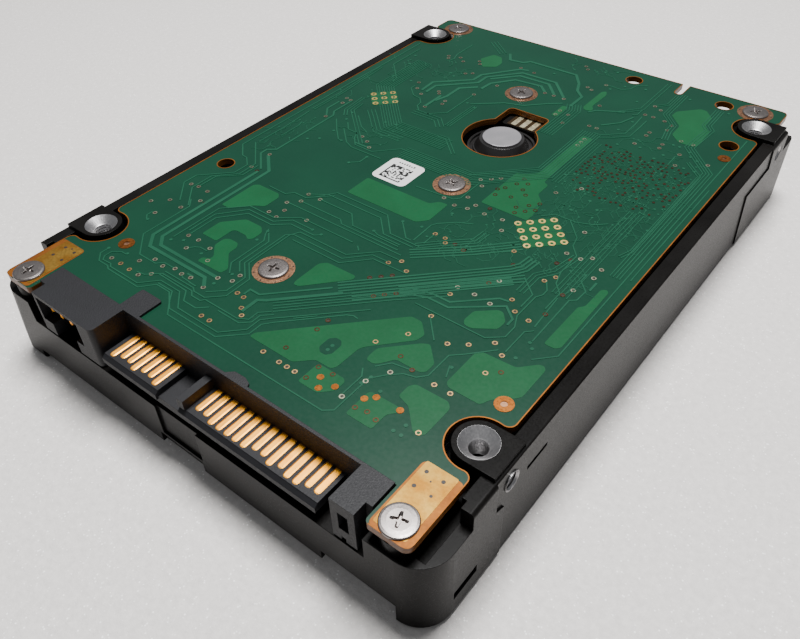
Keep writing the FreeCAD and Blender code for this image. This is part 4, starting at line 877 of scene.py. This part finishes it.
# flat dark discs in the corner pads: painted shade of their holes
for x, y, r in [(28.7, -42.0, 0.17), (30.7, -42.0, 0.17), (28.7, -44.0, 0.17), (30.7, -44.0, 0.13),
                (-30.6, -42.1, 0.17), (-28.7, -42.1, 0.17), (-30.6, -44.0, 0.17), (-28.7, -44.0, 0.17),
                (-29.6, -41.8, 0.1), (29.7, -42.7, 0.08)]:
    cornerHoleShadeDiscs.disc(x, y, r * 1.35, boardTop, at("bare") + 0.006, 14)
cornerBorder.piece("corner_pad_border", "amber")
cornerPads.piece("corner_pads", "goldPad")
cornerHoleShadeDiscs.piece("corner_pad_hole_shade", "paintedHoleShade")

screwRings = Shape()
ringHoleShadeDiscs = Shape()
ringLook = {"outer": 2.75, "inner": 1.2, "viaCount": 8, "viaReach": 2.5}
for x, y in [(-5.2, -28.9), (1.7, 0.1), (-4.9, 29.6), (28.9, 45.5), (-28.9, 45.5)]:
    screwRings.ring(x, y, ringLook["outer"], ringLook["inner"], base, at("area") + 0.01, 40)
    # small flat dark discs round the ring: painted shade of the via holes
    for k in range(ringLook["viaCount"]):
        a = 2 * pi * (k + 0.1) / ringLook["viaCount"]
        ringHoleShadeDiscs.disc(x + ringLook["viaReach"] * cos(a), y + ringLook["viaReach"] * sin(a), 0.13,
                       base, at("ring"), 10)
screwRings.piece("screw_rings", "tinRing")
ringHoleShadeDiscs.piece("screw_ring_via_shade", "paintedHoleShade")

eyelets = Shape()
eyeletFill = Shape()
for x, y, inner, outer in [(-24.8, -36.7, 0.5, 1.1), (30.0, -30.3, 0.5, 1.1), (30.1, 29.4, 0.35, 0.95)]:
    eyelets.ring(x, y, outer, inner, base, at("bare"), 28)
    eyelets.turned(x, y, [(inner - 0.01, 13.75), (inner - 0.01, at("bare")), (inner - 0.09, at("bare")),
                          (inner - 0.09, 13.75)], 24)
    eyeletFill.disc(x, y, inner - 0.1, 13.9, 14.57, 20)
eyelets.piece("eyelet_rings", "copperPad")
eyeletFill.piece("eyelet_fill", "tinRing")

# ---------- amber laminate rim round every cut in the board


def rimLoops(node):
    # closed chains of top edges that drop down a side wall
    mesh = nodes[node].data
    flatEdges, sideEdges = {}, set()
    for face in mesh.polygons:
        ring = list(face.vertices)
        pairs = list(zip(ring, ring[1:] + ring[:1]))
        if face.normal.z > 0.9:
            for a, b in pairs:
                flatEdges[(a, b)] = True
        elif abs(face.normal.z) < 0.4:
            for a, b in pairs:
                sideEdges.add((b, a))

    def spot(index):
        x, y, z = mesh.vertices[index].co
        return (round(x / mm, 3), round(y / mm, 3), round(z / mm, 3))

    walls = {(spot(a), spot(b)) for a, b in sideEdges}
    following = {}
    for a, b in flatEdges:
        first, second = spot(a), spot(b)
        if first[2] > boardTop - 0.01 and second[2] > boardTop - 0.01 and (first, second) in walls:
            following[first[:2]] = second[:2]
    loops = []
    while following:
        start, here = following.popitem()
        chain = [start]
        while here != start and here in following:
            chain.append(here)
            here = following.pop(here)
        if here == start and len(chain) > 5:
            loops.append(chain)
    return loops


def addRim(shape, chain, width, z0, z1):
    # the board lies to the left of each edge, so the strip grows inwards
    count = len(chain)
    closed = [chain[-1]] + chain + [chain[0]]
    inner = moved(closed, width)[1:count + 1]
    outer = moved(closed, 0.0)[1:count + 1]
    sections = [shape.loop(outer, z0), shape.loop(inner, z0), shape.loop(inner, z1), shape.loop(outer, z1)]
    for section in sections:
        for k in section:
            px, py, pz = shape.points[k]
            if abs(px) < 27.8 and py < -41:  # sunk where the plug covers the edge
                shape.points[k] = (px, py, pz - 0.3)
    for first, second in zip(sections, sections[1:] + sections[:1]):
        for i in range(count):
            j = (i + 1) % count
            shape.faces.append((first[i], first[j], second[j], second[i]))


rimLook = {"width": 0.13}
rim = Shape()
rimChains = rimLoops("circuit_board")
for chain in rimChains:
    addRim(rim, chain, rimLook["width"], base, at("area") + 0.012)
if rim.points:
    rim.piece("laminate_rim", "amber")
print("rim strips:", len(rimChains))

# ---------- board screws with a cross recess

screwLook = {
    "spots": [(30.0, -47.9), (-30.0, -47.9), (28.9, 45.5), (-28.9, 45.5), (-5.2, -28.9), (1.7, 0.1),
              (-4.9, 29.6)],
    "radius": 1.99, "foot": 14.605, "rim": 14.80, "top": 14.985, "armLong": 0.88, "armHalf": 0.15,
    "deep": 14.66, "turns": [20, 10, 35, 60, 12, 50, 75], "shank": 0.72,
}


def crossOutline(reach, half, turn):
    # twelve points a quarter, each arm widening a little towards the middle
    inner = half * 1.5
    quarter = []
    for k in range(5):
        t = k / 4
        quarter.append((inner + (reach - inner) * t, -(inner + (half - inner) * t)))
    quarter.append((reach + half * 0.35, -half * 0.35))
    quarter.append((reach + half * 0.35, half * 0.35))
    for k in range(5):
        t = 1 - k / 4
        quarter.append((inner + (reach - inner) * t, inner + (half - inner) * t))
    points = []
    for q in range(4):
        a = turn + q * pi / 2
        points += [(x * cos(a) - y * sin(a), x * sin(a) + y * cos(a)) for x, y in quarter]
    return points


def addScrew(shape, x, y, turn):
    look = screwLook
    outline = crossOutline(look["armLong"], look["armHalf"], turn)
    lower = crossOutline(look["armLong"] * 0.62, look["armHalf"] * 0.6, turn)
    count = len(outline)
    sweep = [turn - pi / 4 + 2 * pi * (i + 0.5) / count for i in range(count)]

    def circle(radius, z):
        return shape.loop([(x + radius * cos(a), y + radius * sin(a)) for a in sweep], z)

    rings = [circle(look["shank"], screwBottom), circle(look["shank"], look["foot"]),
             circle(look["radius"], look["foot"]),
             circle(look["radius"], look["rim"]), circle(look["radius"] * 0.955, look["rim"] + 0.11),
             circle(look["radius"] * 0.84, look["top"] - 0.025), circle(look["radius"] * 0.6, look["top"]),
             shape.loop([(x + u, y + v) for u, v in outline], look["top"]),
             shape.loop([(x + u, y + v) for u, v in lower], look["deep"])]
    for first, second in zip(rings, rings[1:]):
        shape.bridge(first, second)
    shape.faces.append(tuple(rings[-1]))
    shape.faces.append(tuple(reversed(rings[0])))


screws = Shape()
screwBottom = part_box("pcb_screws")[0].z / mm
for (x, y), turn in zip(screwLook["spots"], screwLook["turns"]):
    addScrew(screws, x, y, radians(turn))
made = screws.piece("board_screw_heads", "screw")
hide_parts("pcb_screws")

# ---------- sticker, flex pads, threads and contacts

stickerTop = topOf("board_sticker")
code = {"x": -8.45, "y": -4.15, "cells": 14, "cell": 0.265, "seed": 21}
codeLuck = random.Random(code["seed"])
printed = Shape()
for i in range(code["cells"]):
    for j in range(code["cells"]):
        edge = i == 0 or j == 0 or (i == code["cells"] - 1 and j % 2) or (j == code["cells"] - 1 and i % 2)
        if edge or codeLuck.random() < 0.48:
            cx = code["x"] + i * code["cell"]
            cy = code["y"] + j * code["cell"]
            printed.plate(rectangle(cx, cy, cx + code["cell"] * 0.98, cy + code["cell"] * 0.98),
                          stickerTop - 0.01, stickerTop + 0.004)
for k in range(7):
    cx = -8.0 + k * 0.44
    tall = codeLuck.uniform(0.25, 0.5)
    printed.plate(rectangle(cx, 0.2, cx + 0.24, 0.2 + tall), stickerTop - 0.01, stickerTop + 0.004)
printed.piece("sticker_print", "ink")

flexTop = topOf("motor_flex")
flexPads = Shape()
for x in (-1.5, 0.1, 1.65):
    flexPads.plate(rounded(rectangle(x - 0.45, 21.7, x + 0.45, 24.9), 0.15, 3), flexTop - 0.01,
                   flexTop + 0.06)
flexPads.piece("flex_pads", "flexPad")

threadLook = {"crest": 1.08, "root": 1.235, "pitch": 0.45, "deep": 3.3, "seat": 2.19,
              "wall": 1.245, "mouth": 1.2}
lugSpots = [(s * 30.86, y) for s in (-1, 1) for y in (-36.225, 40.375)]
threads = Shape()
for x, y in lugSpots:
    floorZ = 15.0 - threadLook["deep"]
    profile = [(threadLook["wall"], floorZ), (threadLook["wall"], 14.1), (threadLook["seat"], 14.98),
               (threadLook["seat"] - 0.02, 14.98), (threadLook["mouth"], 14.14)]
    z = 14.05
    while z - threadLook["pitch"] > floorZ:
        profile.append((threadLook["crest"], z))
        profile.append((threadLook["root"], z - threadLook["pitch"] / 2))
        z -= threadLook["pitch"]
    profile.append((threadLook["crest"], floorZ))
    threads.turned(x, y, profile, 36)
threads.piece("mount_threads", "bareMetal")

sideLook = {"deep": 2.45, "end": 1.05, "firstRoot": 2.3, "lastRoot": 0.35, "halfTurn": 0.22}
sideThreads = Shape()
for side in (-1, 1):
    for y in (-36.225, 40.375):
        part = Shape()
        profile = [(threadLook["wall"], 0.0), (threadLook["wall"], sideLook["deep"]),
                   (sideLook["end"], sideLook["deep"])]
        depth = sideLook["firstRoot"]
        while depth > sideLook["lastRoot"]:
            profile.append((threadLook["root"], depth))
            profile.append((threadLook["crest"], depth - sideLook["halfTurn"]))
            depth -= threadLook["pitch"]
        profile.append((threadLook["mouth"], 0.0))
        part.turned(0, 0, profile, 30)
        start = len(sideThreads.points)
        sideThreads.points += [(side * (35.0 - pz), y + px * side, 12.0 + py) for px, py, pz in part.points]
        sideThreads.faces += [tuple(start + i for i in face) for face in part.faces]
sideThreads.piece("side_threads", "bareMetal")

contactLook = {"pitch": 1.27, "half": 0.42, "crown": 0.26, "rise": 0.1, "rear": -45.36}
contactZ = 11.5
contacts = Shape()


def addContact(x, frontY):
    # strip with a raised crown and a rounded nose
    rows = [(frontY, 0.45, 0.25), (frontY + 0.12, 0.8, 0.7), (frontY + 0.35, 1.0, 1.0),
            (contactLook["rear"], 1.0, 1.0)]
    loops = []
    for y, wide, tall in rows:
        h = contactLook["half"] * wide
        c = contactLook["crown"] * wide
        top = contactZ + contactLook["rise"] * tall
        section = [(x - h, contactZ - 0.01), (x + h, contactZ - 0.01), (x + h, contactZ + 0.03 * tall),
                   (x + c, top), (x - c, top), (x - h, contactZ + 0.03 * tall)]
        start = len(contacts.points)
        contacts.points += [(px, y, pz) for px, pz in section]
        loops.append(list(range(start, start + len(section))))
    for first, second in zip(loops, loops[1:]):
        contacts.bridge(second, first)
    contacts.faces.append(tuple(loops[0]))
    contacts.faces.append(tuple(reversed(loops[-1])))


for i in range(7):
    addContact(-12.255 + i * contactLook["pitch"], -49.4 if i in (0, 3, 6) else -48.9)
for i in range(15):
    addContact(2.35 + i * contactLook["pitch"], -49.4 if i in (2, 3, 4, 5, 6, 9, 11, 12) else -48.9)
for i in range(7):
    x = -1.5 + (i - 3) * 0.8
    contacts.plate(rectangle(x - 0.25, -49.3, x + 0.25, -45.36), 9.42, 9.5)
made = contacts.piece("contact_strips", "gold")
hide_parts("plug_contacts")
print("pads, sticker, threads and contacts made")
